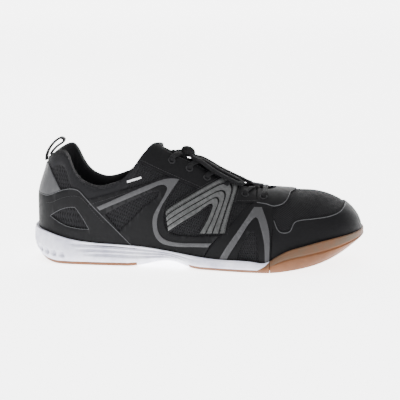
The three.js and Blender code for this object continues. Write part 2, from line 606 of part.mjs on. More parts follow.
function buildLaces() {
  const knot = (grow) => {
    const ball = new THREE.SphereGeometry(1, 12, 8);
    ball.scale(6 + grow, 6.5 + grow, 3.8 + grow);
    ball.rotateY(0.45);
    ball.translate(...onLast(KNOT_X, 0, KNOT_HEIGHT).toArray());
    return solidOf(ball);
  };
  const room = knot(GAP);
  const along = (stops, steps) => cord(stops.map(([x, t, up]) => onLast(x, t, BOW_HEIGHT + up)), LACE_R, steps);
  add("lace", threadedLace(LACE_R).subtract(room), "lace");
  add("lace_knot", knot(0), "lace");
  for (const { side } of SIDES) {
    const s = side === "lateral" ? -1 : 1;
    const drop = [
      [KNOT_X, 0.05, 1], [149, 0.13, 0.6], [162, 0.17, 0], [178, 0.19, 0], [187, 0.18, 0], [190, 0.145, 0.3], [186, 0.11, 0],
      [170, 0.095, 0], [154, 0.08, 0.5], [KNOT_X, 0.03, 1],
    ].map(([x, t, up]) => [x, s * t, up]);
    add(`bow_loop_${side}`, along(drop, 33).subtract(room), "lace");
  }
  const tail = { lateral: [[KNOT_X, 0, 1], [152, -0.005, 0.4], [168, 0, 0], [184, -0.01, 0], [198, -0.03, 0]], medial: [[KNOT_X - 1, 0.12, -0.5], [145, 0.23, 0], [156, 0.28, 0], [172, 0.3, 0], [186, 0.29, 0]] };
  for (const [side, stops] of Object.entries(tail)) {
    const [x, t] = stops[stops.length - 1];
    add(`lace_end_${side}`, along(stops, 16).subtract(room), "lace");
    add(`aglet_${side}`, along([[x + 0.6, t, 0], [x + 12, t - 0.02, 0]], 1), "clear");
  }
}

/** The webbing loop at the top of the heel, a flat band bent to a drop. */
function buildPullLoop() {
  const path = new THREE.CatmullRomCurve3(
    [[10.3, 90.8], [10.4, 97], [12.6, 104.5], [18.5, 111], [25, 113], [29, 109.5], [27, 104.5], [21, 101.3], [14.8, 99]].map(
      ([x, z]) => new THREE.Vector3(x, 0, z),
    ),
  );
  const extrudePath = path;
  const webbing = new THREE.ExtrudeGeometry(rectangle(-PULL_HALF, -PULL_T / 2, PULL_HALF, PULL_T / 2), {
    steps: 20, bevelEnabled: false, extrudePath,
  });
  add("pull_loop", solidOf(webbing), "grey");
}

buildSole();
buildFootbed();
buildUpperCore();
buildOverlays();
buildTongue();
buildLaces();
buildPullLoop();

const box = new THREE.Box3().setFromObject(shoe);
shoe.position.set(-(box.min.x + box.max.x) / 2, -(box.min.y + box.max.y) / 2, -box.min.z);
const part = new THREE.Group();
part.add(shoe);
export default part;
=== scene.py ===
"""Dresses a right-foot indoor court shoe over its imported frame.

Every layer of the upper is a sheet laid on one last, cut to a side-view pattern as a
shoemaker's clicker cuts it, and given its thickness. Patterns are in millimetres from the back
of the heel; pieces are in metres in the row frame.
"""

import logging
import math
from dataclasses import dataclass, field
from enum import Enum
from typing import Callable, Sequence

import bmesh
import bpy
import numpy as np
from mathutils import Matrix, Vector


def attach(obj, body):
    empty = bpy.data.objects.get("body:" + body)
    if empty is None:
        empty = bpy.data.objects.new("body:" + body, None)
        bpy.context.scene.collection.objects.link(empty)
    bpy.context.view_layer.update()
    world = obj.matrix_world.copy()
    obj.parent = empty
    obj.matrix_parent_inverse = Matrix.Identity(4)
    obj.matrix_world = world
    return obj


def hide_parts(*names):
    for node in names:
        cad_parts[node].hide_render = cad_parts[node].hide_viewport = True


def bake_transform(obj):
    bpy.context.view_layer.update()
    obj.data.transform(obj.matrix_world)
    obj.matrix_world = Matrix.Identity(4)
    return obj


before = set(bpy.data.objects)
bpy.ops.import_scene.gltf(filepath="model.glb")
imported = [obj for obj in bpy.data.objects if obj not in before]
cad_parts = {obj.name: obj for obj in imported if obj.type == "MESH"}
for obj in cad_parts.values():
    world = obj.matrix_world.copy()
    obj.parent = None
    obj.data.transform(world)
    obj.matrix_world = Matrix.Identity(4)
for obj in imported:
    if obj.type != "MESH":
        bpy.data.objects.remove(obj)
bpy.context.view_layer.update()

log = logging.getLogger("court_shoe")

Point2 = tuple[float, float]
Stop = tuple[float, float, float]
Array = np.ndarray

MM = 0.001
ORIGIN = np.array([150.3, -2.3305, 0.0])  # the row frame's origin, from the back of the heel
HEEL_X, TOE_X = 4.0, 299.0
RIDGE_SPREAD = 85.0  # length on the pattern from the floor line to the ridge
FLEX_START, FLEX_END = 186.0, 250.0  # the sole and the upper bend between these
FLEX_UP = 9.0  # height of the line they bend about
MESH_T, OVERLAY_OUT, TRIM_OUT = 1.5, 1.2, 1.75  # base thickness, and how far out overlays and trim lie
THROAT_HALF, THROAT_FRONT = 9.0, 222.0  # half the lacing slot's width, and its round front
FOOT_MIDDLE = (170.0, 0.0, 40.0)  # a point inside the shoe, which faces turn away from
EYELET_X = (211.0, 194.0, 176.0, 159.0, 143.0, 127.0)
EYELET_T = 0.29
LACE_OVER, LACE_UNDER = 2.4, -5.0  # the lace's distance from the last
KNOT_UP, BOW_UP = 4.4, 5.0


class Motion(Enum):
    """How a piece follows the joints."""

    REAR = "rearfoot"
    FORE = "forefoot"
    TONGUE = "tongue"
    LOOP = "pull_loop"
    SOCKLINER = "sockliner"
    BENDS = "bends at the ball"


class Side(Enum):
    """The two sides of the shoe, with the sign of Y there."""

    LATERAL = -1
    MEDIAL = 1

    @property
    def label(self) -> str:
        """The side's name in a piece's name."""
        return self.name.lower()


# The last


@dataclass(frozen=True)
class Curve:
    """A natural cubic curve through knots, read from a fine table."""

    knots: tuple[Point2, ...]
    table: tuple[Array, Array] = field(init=False, compare=False)

    def __post_init__(self) -> None:
        """Solves the curve and tabulates it every quarter of a millimetre."""
        x = np.array([k[0] for k in self.knots])
        y = np.array([k[1] for k in self.knots])
        n = len(x)
        h = np.diff(x)
        a = np.eye(n)
        b = np.zeros(n)
        for i in range(1, n - 1):
            a[i, i - 1 : i + 2] = h[i - 1], 2 * (h[i - 1] + h[i]), h[i]
            b[i] = 6 * ((y[i + 1] - y[i]) / h[i] - (y[i] - y[i - 1]) / h[i - 1])
        m = np.linalg.solve(a, b)
        at = np.arange(x[0], x[-1] + 0.25, 0.25).clip(x[0], x[-1])
        i = np.clip(np.searchsorted(x, at, side="right") - 1, 0, n - 2)
        p, q = (x[i + 1] - at) / h[i], (at - x[i]) / h[i]
        made = p * y[i] + q * y[i + 1] + ((p**3 - p) * m[i] + (q**3 - q) * m[i + 1]) * h[i] ** 2 / 6
        object.__setattr__(self, "table", (at, made))

    def __call__(self, x: Array | float) -> Array:
        """The curve's value at x, level beyond its ends."""
        return np.interp(x, *self.table)


def smooth(low: float, high: float, value: Array | float) -> Array:
    """A smooth step from 0 at low to 1 at high."""
    s = np.clip((np.asarray(value, float) - low) / (high - low), 0, 1)
    return s * s * (3 - 2 * s)


@dataclass(frozen=True)
class Last:
    """The solid form that the upper is pulled over.

    A place on it is (s, t): s runs along the shoe in about a millimetre of skin, and t runs
    over a slice from -1 at the lateral floor through 0 at the ridge to 1 at the medial floor.
    """

    middle: Curve = Curve(((5, 0), (60, 0.5), (120, -1), (200, -2.5), (250, 0.5), (299, 6)))
    lateral: Curve = Curve(
        ((5, 33), (40, 33), (70, 33.5), (100, 33.5), (130, 35.5), (160, 40.5), (190, 45.5), (215, 48),
            (240, 48.5), (299, 48))
    )
    medial: Curve = Curve(
        ((5, 32.5), (40, 32), (70, 31), (100, 29), (130, 30), (160, 35), (190, 42), (215, 46), (240, 46.5),
            (299, 46))
    )
    floor: Curve = Curve(
        (
            (5, 21), (30, 19.5), (60, 17), (90, 14.5), (120, 10.5), (150, 7.5), (180, 6.5), (210, 6.8),
            (236, 9.5),
            (262, 15), (282, 21.5), (299, 28),
        )
    )
    ridge: Curve = Curve(
        (
            (5, 150), (40, 147), (70, 134), (90, 119.5), (105, 111), (118, 105), (130, 99.5), (148, 91),
            (165, 81.5),
            (182, 73.5), (196, 68.8), (210, 67.2), (223, 66.8), (236, 66), (250, 65.5), (275, 65.5), (299, 66),
        )
    )
    ridge_y: Curve = Curve(((5, 0), (60, 1), (120, 4), (180, 4), (230, 3), (299, 6)))
    wall_power: Curve = Curve(((5, 2.8), (80, 2.6), (130, 2.2), (210, 2.2), (299, 2.3)))
    arch_power: Curve = Curve(((5, 2.2), (80, 2.2), (130, 1.9), (210, 2.0), (299, 2.2)))
    s_heel: float = 40 - 37 * math.pi / 2
    s_toe: float = 225 + 64 * math.pi / 2 - 1.2

    @staticmethod
    def lean(x: Array, z: Array) -> Array:
        """How far the back of the heel leans towards the toe."""
        return 9.5 * smooth(58, 98, z) * np.clip(1 - (x - HEEL_X) / 80, 0, 1) ** 2

    @staticmethod
    def plan_end(x: Array) -> Array:
        """The share of the full width left at x by the rounded ends.

        Args:
            x: Distances from the back of the heel.

        Returns:
            A share from 0 to 1 for each.
        """
        heel = np.clip((40 - x) / 36, 0, 1) ** 2.3
        toe = np.clip((x - 225) / 74, 0, 1) ** 2.2
        return (1 - heel) ** (1 / 2.3) * (1 - toe) ** (1 / 2.2)

    def top(self, x: Array) -> Array:
        """The height of the ridge over the floor line."""
        return (self.ridge(x) - self.floor(x)) * (1 - np.clip((x - 250) / 49, 0, 1) ** 2.1) ** (1 / 2.1)

    @staticmethod
    def x_of(s: Array) -> Array:
        """The slice of the last at a place along the skin.

        Args:
            s: Places along the skin.

        Returns:
            The distance of each slice from the back of the heel.
        """
        heel = 40 - 36 * np.sin(np.clip((40 - s) / 37, 0, math.pi / 2)) ** (2 / 2.3)
        toe = 225 + 74 * np.sin(np.clip((s - 225) / 64, 0, math.pi / 2)) ** (2 / 2.2)
        return np.where(s < 40, heel, np.where(s > 225, toe, s))

    @staticmethod
    def s_of(x: Array) -> Array:
        """The place along the skin of a slice of the last.

        Args:
            x: Distances of slices from the back of the heel.

        Returns:
            Places along the skin.
        """
        heel = 40 - 37 * np.arcsin(np.clip((40 - x) / 36, 0, 1) ** 1.15)
        toe = 225 + 64 * np.arcsin(np.clip((x - 225) / 74, 0, 1) ** 1.1)
        return np.where(x < 40, heel, np.where(x > 225, toe, x))

    def bare(self, s: Array, t: Array) -> Array:
        """Points of the last itself.

        Args:
            s: Places along the skin.
            t: Places over the slice.

        Returns:
            Points in millimetres.
        """
        over = s < self.s_heel
        s = np.minimum(np.where(over, 2 * self.s_heel - s, s), self.s_toe + 1.1)
        t = np.clip(np.where(over, -t, t), -1, 1)
        x = self.x_of(s)
        angle = (1 - np.abs(t)) * math.pi / 2
        up = np.sin(angle) ** (2 / self.wall_power(x))
        out = np.clip(np.cos(angle), 0, 1) ** (2 / self.arch_power(x))
        z = self.floor(x) + self.top(x) * up
        half = np.where(t < 0, -self.lateral(x), self.medial(x)) * self.plan_end(x)
        y = self.middle(x) * (1 - up) + self.ridge_y(x) * up + half * out
        return np.stack([x + self.lean(x, z), y, z], axis=-1)

    def normals(self, s: Array, t: Array) -> Array:
        """Outward unit normals.

        Args:
            s: Places along the skin.
            t: Places over the slice.

        Returns:
            One unit direction for each place.
        """
        ds, dt = 0.4, 0.008
        along = self.bare(s + ds, t) - self.bare(s - ds, t)
        across = self.bare(s, np.minimum(t + dt, 1)) - self.bare(s, np.maximum(t - dt, -1))
        n = np.cross(along, across)
        return n / np.maximum(np.linalg.norm(n, axis=-1, keepdims=True), 1e-9)

    def place(self, s: Array, t: Array, off: Array | float = 0.0) -> Array:
        """Points at a distance from the last.

        Args:
            s: Places along the skin.
            t: Places over the slice.
            off: Distance outwards in millimetres.

        Returns:
            Points in millimetres, one row each.
        """
        s, t = np.broadcast_arrays(np.asarray(s, float), np.asarray(t, float))
        off = np.broadcast_to(np.asarray(off, float), s.shape)
        return self.bare(s, t) + self.normals(s, t) * off[..., None]

    def find(self, x: Array, z: Array, side: Side) -> tuple[Array, Array]:
        """The place (s, t) seen at (x, z) from one side.

        Args:
            x: Distances from the back of the heel.
            z: Heights.
            side: The side that is looked at.

        Returns:
            Arrays of s and t.
        """
        x, z = np.asarray(x, float), np.asarray(z, float)
        bare_x = x.copy()
        for _ in range(6):
            bare_x = np.clip(x - self.lean(bare_x, z), HEEL_X, TOE_X)
        up = np.clip((z - self.floor(bare_x)) / np.maximum(self.top(bare_x), 1e-6), 0, 1)
        angle = np.arcsin(up ** (self.wall_power(bare_x) / 2))
        return self.s_of(bare_x), side.value * (1 - angle / (math.pi / 2))


LAST = Last()


def row(points: Array) -> Array:
    """Millimetres from the back of the heel as metres in the row frame."""
    return (np.asarray(points, float) - ORIGIN) * MM


def run(*points: Point2, step: float = 1.6) -> list[Point2]:
    """A smooth line through points, as a dense run; two points make a straight one.

    Args:
        points: The points it passes through.
        step: The distance between the run's points.

    Returns:
        The run, its first and last points exact.
    """
    p = np.array(points, float)
    if len(p) == 2:
        count = max(1, int(np.linalg.norm(p[1] - p[0]) / step))
        return [tuple(p[0] + (p[1] - p[0]) * i / count) for i in range(count + 1)]
    q = np.vstack([2 * p[0] - p[1], p, 2 * p[-1] - p[-2]])
    made: list[Point2] = []
    for i in range(1, len(q) - 2):
        count = max(1, int(np.linalg.norm(q[i + 1] - q[i]) / step))
        for k in range(count):
            f = k / count
            made.append(tuple(
                0.5 * (2 * q[i] + (q[i + 1] - q[i - 1]) * f
                    + (2 * q[i - 1] - 5 * q[i] + 4 * q[i + 1] - q[i + 2]) * f**2
                       + (3 * q[i] - q[i - 1] - 3 * q[i + 1] + q[i + 2]) * f**3)
            ))
    return [*made, tuple(p[-1])]


def loop(*runs: list[Point2]) -> list[Point2]:
    """Runs joined end to start into one closed outline, with no point twice."""
    return list(tidy_loop([p for points in runs for p in points], 0.05))


# Making pieces


def new_piece(bm: bmesh.types.BMesh, name: str, material: bpy.types.Material) -> bpy.types.Object:
    """A smooth-shaded mesh object from a bmesh, which is freed.

    Args:
        bm: The shape, already in the row frame.
        name: The piece's name.
        material: Its finish.

    Returns:
        The object, linked to the scene.
    """
    mesh = bpy.data.meshes.new(name)
    bm.to_mesh(mesh)
    bm.free()
    mesh.shade_smooth()
    mesh.materials.append(material)
    made = bpy.data.objects.new(name, mesh)
    bpy.context.scene.collection.objects.link(made)
    return made


def absorb(whole: bmesh.types.BMesh, part: bmesh.types.BMesh) -> None:
    """Adds one bmesh to another and frees it.

    Args:
        whole: The bmesh that grows.
        part: The bmesh that it takes in.
    """
    mesh = bpy.data.meshes.new("part")
    part.to_mesh(mesh)
    part.free()
    whole.from_mesh(mesh)
    bpy.data.meshes.remove(mesh)


def settle(piece: bpy.types.Object, motion: Motion, slot: str, *nodes: str) -> bpy.types.Object:
    """Puts a finished piece on its body, or bakes a Motion.BENDS piece in place on no body.

    Args:
        piece: The piece, its mesh final.
        motion: How it follows the joints.
        slot: Not used.
        nodes: The frame's solids that it stands for.

    Returns:
        The piece.
    """
    if motion is Motion.BENDS:
        start, end = (row([x, ORIGIN[1], FLEX_UP]) for x in (FLEX_START, FLEX_END))
        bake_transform(piece)
    else:
        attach(piece, motion.value)
    if nodes:
        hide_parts(*nodes)
    log.info("%s: %s, %d faces", piece.name, motion.value, len(piece.data.polygons))
    return piece


def finish_edges(piece: bpy.types.Object, thickness: float, bevel: float = 0.28) -> None:
    """Gives a cut sheet its thickness inwards and rounds its cut edge.

    Args:
        piece: The cut sheet.
        thickness: Its thickness in millimetres.
        bevel: The rounding of its cut edge, or none at zero.
    """
    shell = piece.modifiers.new("thickness", "SOLIDIFY")
    shell.thickness = thickness * MM
    shell.offset = -1
    shell.use_quality_normals = True
    if bevel:
        edge = piece.modifiers.new("cut_edge", "BEVEL")
        edge.width = bevel * MM
        edge.segments = 2
        edge.limit_method = "ANGLE"
        edge.angle_limit = math.radians(50)


def grid(
    across: int, along: int, place: Callable[[Array, Array], Array], size: Point2 = (1.0, 1.0)
) -> bmesh.types.BMesh:
    """A grid bent to a surface, with its own map of true lengths.

    Args:
        across: Faces from u 0 to 1.
        along: Faces from v 0 to 1.
        place: Gives points in millimetres for arrays of u and v.
        size: Millimetres of the surface along u and v, for the map.

    Returns:
        The bmesh in the row frame, not yet merged.
    """
    bm = bmesh.new()
    bmesh.ops.create_grid(bm, x_segments=across, y_segments=along, size=0.5)
    flat = np.array([v.co[:2] for v in bm.verts]) + 0.5
    layer = bm.loops.layers.uv.new("surface")
    for face in bm.faces:
        for corner in face.loops:
            u, v = flat[corner.vert.index]
            corner[layer].uv = (u * size[0] * MM, v * size[1] * MM)
    for vert, point in zip(bm.verts, row(place(flat[:, 0], flat[:, 1])), strict=True):
        vert.co = point
    return bm


def weld(bm: bmesh.types.BMesh, distance: float = 0.02, fill: bool = False) -> bmesh.types.BMesh:
    """Merges coincident points, closes open ends if asked, and turns faces outwards.

    Args:
        bm: The bmesh.
        distance: How close points are merged, in millimetres.
        fill: Whether open ends are closed.

    Returns:
        The same bmesh.
    """
    bmesh.ops.remove_doubles(bm, verts=bm.verts, dist=distance * MM)
    bmesh.ops.dissolve_degenerate(bm, edges=bm.edges, dist=1e-6)
    if fill:
        open_edges = [e for e in bm.edges if e.is_boundary]
        if open_edges:
            bmesh.ops.holes_fill(bm, edges=open_edges, sides=0)
    bmesh.ops.recalc_face_normals(bm, faces=bm.faces)
    return bm


def sweep(
    centres: Array, normals: Array, section: Sequence[Point2], closed: bool = False, fill: bool = True
) -> bmesh.types.BMesh:
    """A section carried along a line.

    Args:
        centres: The line's points in millimetres.
        normals: The direction of the section's second axis at each point.
        section: A closed section as (sideways, up) millimetres.
        closed: Whether the line meets its own start.
        fill: Whether open ends are closed.

    Returns:
        The bmesh in the row frame.
    """
    tangents = np.gradient(centres, axis=0)
    if closed:
        tangents = np.roll(centres, -1, 0) - np.roll(centres, 1, 0)
    tangents /= np.maximum(np.linalg.norm(tangents, axis=1, keepdims=True), 1e-9)
    side = np.cross(tangents, normals)
    side /= np.maximum(np.linalg.norm(side, axis=1, keepdims=True), 1e-9)
    up = np.cross(side, tangents)
    ring = np.array([*section, section[0]], float)
    n = len(centres)

    def place(u: Array, v: Array) -> Array:
        """Point of the sweep: u round the section, v along the line.

        Args:
            u: Shares of the way round or across, from 0 to 1.
            v: Shares of the way along, from 0 to 1.

        Returns:
            Points in millimetres.
        """
        i = np.rint(v * (n if closed else n - 1)).astype(int) % n
        k = np.rint(u * (len(ring) - 1)).astype(int)
        return centres[i] + side[i] * ring[k, :1] + up[i] * ring[k, 1:]

    length = float(np.linalg.norm(np.diff(centres, axis=0), axis=1).sum())
    girth = float(np.linalg.norm(np.diff(ring, axis=0), axis=1).sum())
    bm = grid(len(ring) - 1, n if closed else n - 1, place, (girth, length))
    return weld(bm, fill=fill and not closed)


def oval(width: float, height: float, sides: int = 12, squareness: float = 2.4) -> list[Point2]:
    """A rounded flat section.

    Args:
        width: Its width.
        height: Its height.
        sides: How many points it has.
        squareness: 2 for an ellipse, and more for a squarer section.

    Returns:
        Points as (sideways, up).
    """
    made = []
    for k in range(sides):
        a = 2 * math.pi * k / sides
        c, s = math.cos(a), math.sin(a)
        made.append((
            math.copysign(abs(c) ** (2 / squareness), c) * width / 2,
            math.copysign(abs(s) ** (2 / squareness), s) * height / 2,
        ))
    return made


def spaced(points: Array, step: float) -> Array:
    """Points of a line respaced evenly, about a step apart.

    Args:
        points: Points of the line; columns after the place are carried along.
        step: The distance wanted between points.

    Returns:
        The respaced points.
    """
    points = np.asarray(points, float)
    lengths = np.concatenate([[0], np.cumsum(np.linalg.norm(np.diff(points, axis=0), axis=1))])
    count = max(2, int(round(lengths[-1] / step)) + 1)
    at = np.linspace(0, lengths[-1], count)
    return np.stack([np.interp(at, lengths, points[:, k]) for k in range(points.shape[1])], axis=1)


def catmull(points: Array, per: int) -> Array:
    """A centripetal Catmull-Rom line through points, with that many steps in each span.

    Args:
        points: Points whose first three columns are a place.
        per: Steps in each span.

    Returns:
        The dense line.
    """
    p = np.asarray(points, float)
    q = np.vstack([2 * p[0] - p[1], p, 2 * p[-1] - p[-2]])
    made = []
    for i in range(1, len(q) - 2):
        knots = [0.0]
        for a, b in ((i - 1, i), (i, i + 1), (i + 1, i + 2)):
            knots.append(knots[-1] + max(float(np.linalg.norm(q[b][:3] - q[a][:3])), 1e-4) ** 0.5)
        t0, t1, t2, t3 = knots
        for k in range(per):
            t = t1 + (t2 - t1) * k / per
            a1 = (t1 - t) / (t1 - t0) * q[i - 1] + (t - t0) / (t1 - t0) * q[i]
            a2 = (t2 - t) / (t2 - t1) * q[i] + (t - t1) / (t2 - t1) * q[i + 1]
            a3 = (t3 - t) / (t3 - t2) * q[i + 1] + (t - t2) / (t3 - t2) * q[i + 2]
            b1 = (t2 - t) / (t2 - t0) * a1 + (t - t0) / (t2 - t0) * a2
            b2 = (t3 - t) / (t3 - t1) * a2 + (t - t1) / (t3 - t1) * a3
            made.append((t2 - t) / (t2 - t1) * b1 + (t - t1) / (t2 - t1) * b2)
    return np.array([*made, p[-1]])


@dataclass(frozen=True)
class Pattern:
    """A flat cut piece on the (s, t) plane of the last."""

    outline: tuple[Point2, ...]
    cell: float = 2.6

    @staticmethod
    def on_plane(points: Sequence[Point2], side: Side) -> list[Point2]:
        """Side-view points (x, z) as places on the pattern plane.

        Args:
            points: Points as (x, z).
            side: The side that is looked at.

        Returns:
            Points as (s, t * RIDGE_SPREAD).
        """
        p = np.array(points, float)
        s, t = LAST.find(p[:, 0], p[:, 1], side)
        return [(float(a), float(b) * RIDGE_SPREAD) for a, b in zip(s, t, strict=True)]

    @classmethod
    def seen(cls, points: Sequence[Point2], side: Side, cell: float = 2.6) -> "Pattern":
        """A pattern whose outline is given in side view."""
        return cls(tidy_loop(cls.on_plane(points, side), 0.25), cell)

    def flat(self, bm: bmesh.types.BMesh, holes: Sequence["Pattern"] = ()) -> None:
        """Adds the outline's sheet, its windows left open, cut into cells.

        Args:
            bm: Where it is added.
            holes: The windows.
        """
        edges = []
        for outline in (self.outline, *(hole.outline for hole in holes)):
            ring = [bm.verts.new((a, b, 0)) for a, b in outline]
            edges += [bm.edges.new(pair) for pair in zip(ring, (*ring[1:], ring[0]), strict=True)]
        bmesh.ops.triangle_fill(bm, use_beauty=True, edges=edges, normal=(0, 0, 1))
        low = np.min(self.outline, axis=0)
        high = np.max(self.outline, axis=0)
        for axis in (0, 1):
            normal = Vector((1.0 - axis, float(axis), 0))
            for at in np.arange(math.ceil(low[axis] / self.cell) * self.cell, high[axis], self.cell):
                near = [
                    f for f in bm.faces
                    if min(v.co[axis] for v in f.verts) < at - 1e-4 and max(v.co[axis] for v in f.verts) > at
                    + 1e-4
                ]
                geometry = {g for f in near for g in (*f.verts, *f.edges, f)}
                bmesh.ops.bisect_plane(
                    bm, geom=list(geometry), dist=0.01, plane_co=normal * float(at), plane_no=normal
                )

    def contains(self, point: Point2) -> bool:
        """Whether a place of the plane is inside the outline.

        Args:
            point: The place.

        Returns:
            True when it is inside.
        """
        x, y = point[0], point[1]
        inside = False
        ring = self.outline
        for (x0, y0), (x1, y1) in zip(ring, (*ring[1:], ring[0]), strict=True):
            if (y0 > y) != (y1 > y) and x < (x1 - x0) * (y - y0) / (y1 - y0) + x0:
                inside = not inside
        return inside


def lay(
    name: str,
    patterns: Sequence[Pattern],
    off: float | Callable[[Array, Array], Array],
    material: bpy.types.Material,
    thickness: float,
    holes: Sequence[Pattern] = (),
    bevel: float = 0.28,
) -> bpy.types.Object:
    """Cuts patterns, lays them on the last and gives them their thickness.

    Args:
        name: The piece's name.
        patterns: The flat cuts that make it, joined where they meet.
        off: The outer face's distance from the last, or a function of (s, t) for it.
        material: Its finish.
        thickness: How thick the sheet is, inwards.
        holes: Windows to cut out.
        bevel: Rounding of the cut edge.

    Returns:
        The piece, not yet on its body.
    """
    bm = bmesh.new()
    for pattern in patterns:
        flat = bmesh.new()
        pattern.flat(flat, [hole for hole in holes if pattern.contains(hole.outline[0])])
        absorb(bm, flat)
    bmesh.ops.remove_doubles(bm, verts=bm.verts, dist=0.01)
    bm.verts.index_update()
    flat_at = np.array([v.co[:2] for v in bm.verts])
    layer = bm.loops.layers.uv.new("surface")
    for face in bm.faces:
        for corner in face.loops:
            corner[layer].uv = flat_at[corner.vert.index] * MM
    s, t = flat_at[:, 0], flat_at[:, 1] / RIDGE_SPREAD
    at = off(s, t) if callable(off) else off
    for vert, point in zip(bm.verts, row(LAST.place(s, t, at)), strict=True):
        vert.co = point
    bmesh.ops.remove_doubles(bm, verts=bm.verts, dist=0.12 * MM)
    bmesh.ops.recalc_face_normals(bm, faces=bm.faces)
    outwards = sum(f.normal.dot(f.calc_center_median() - Vector(row(FOOT_MIDDLE))) for f in bm.faces)
    if outwards < 0:
        bmesh.ops.reverse_faces(bm, faces=bm.faces)
    piece = new_piece(bm, name, material)
    finish_edges(piece, thickness, bevel)
    return piece


# Finishes


def srgb(code: str) -> tuple[float, float, float, float]:
    """A six-digit screen colour as linear RGBA.

    Args:
        code: Six hexadecimal digits.

    Returns:
        Red, green, blue and alpha.
    """
    parts = [int(code[i : i + 2], 16) / 255 for i in (0, 2, 4)]
    r, g, b = (c / 12.92 if c <= 0.04045 else ((c + 0.055) / 1.055) ** 2.4 for c in parts)
    return (r, g, b, 1.0)


@dataclass
class Web:
    """Short ways to place and join the nodes of one tree."""

    tree: bpy.types.NodeTree

    def add(self, kind: str, inputs: dict[str | int, object] | None = None, **props: object) -> bpy.types.Node:
        """Places a node.

        Args:
            kind: The node's type.
            inputs: Values or sockets for its inputs.
            **props: Its settings.

        Returns:
            The node.
        """
        node = self.tree.nodes.new(kind)
        for key, value in props.items():
            setattr(node, key, value)
        for key, value in (inputs or {}).items():
            if isinstance(value, bpy.types.NodeSocket):
                self.tree.links.new(value, node.inputs[key])
            else:
                node.inputs[key].default_value = value
        return node

    def math(self, operation: str, *values: object) -> bpy.types.NodeSocket:
        """The result of one calculation."""
        return self.add("ShaderNodeMath", dict(enumerate(values)), operation=operation).outputs[0]

    def mix(self, share: object, low: object, high: object) -> bpy.types.NodeSocket:
        """A colour between two.

        Args:
            share: How much of the second.
            low: The first colour.
            high: The second colour.

        Returns:
            The socket of the colour.
        """
        node = self.add("ShaderNodeMix", data_type="RGBA")
        for index, value in ((0, share), (6, low), (7, high)):
            if isinstance(value, bpy.types.NodeSocket):
                self.tree.links.new(value, node.inputs[index])
            else:
                node.inputs[index].default_value = value
        return node.outputs[2]

    def spread(self, value: object, low: float, high: float) -> bpy.types.NodeSocket:
        """A 0 to 1 value spread between two numbers."""
        return self.add("ShaderNodeMapRange", {"Value": value, "To Min": low, "To Max": high}).outputs[0]


class Effect(Enum):
    """Shared surface effects, each one node group."""

    OPEN_MESH = "open mesh"
    TWILL = "twill"
    GRAIN = "grain"
    MOULDED = "moulded skin"
    BRAID = "braid"
    BRUSHED = "brushed film"


def new_group(name: str, values: Sequence[str], results: Sequence[str]) -> bpy.types.NodeTree:
    """An empty node group that takes a Place.

    Args:
        name: The group's name.
        values: Its other inputs.
        results: Its outputs.

    Returns:
        The group.
    """
    tree = bpy.data.node_groups.new(name, "ShaderNodeTree")
    tree.interface.new_socket("Place", in_out="INPUT", socket_type="NodeSocketVector")
    for value in values:
        tree.interface.new_socket(value, in_out="INPUT", socket_type="NodeSocketFloat").default_value = 1.0
    for result in results:
        tree.interface.new_socket(result, in_out="OUTPUT", socket_type="NodeSocketFloat")
    return tree


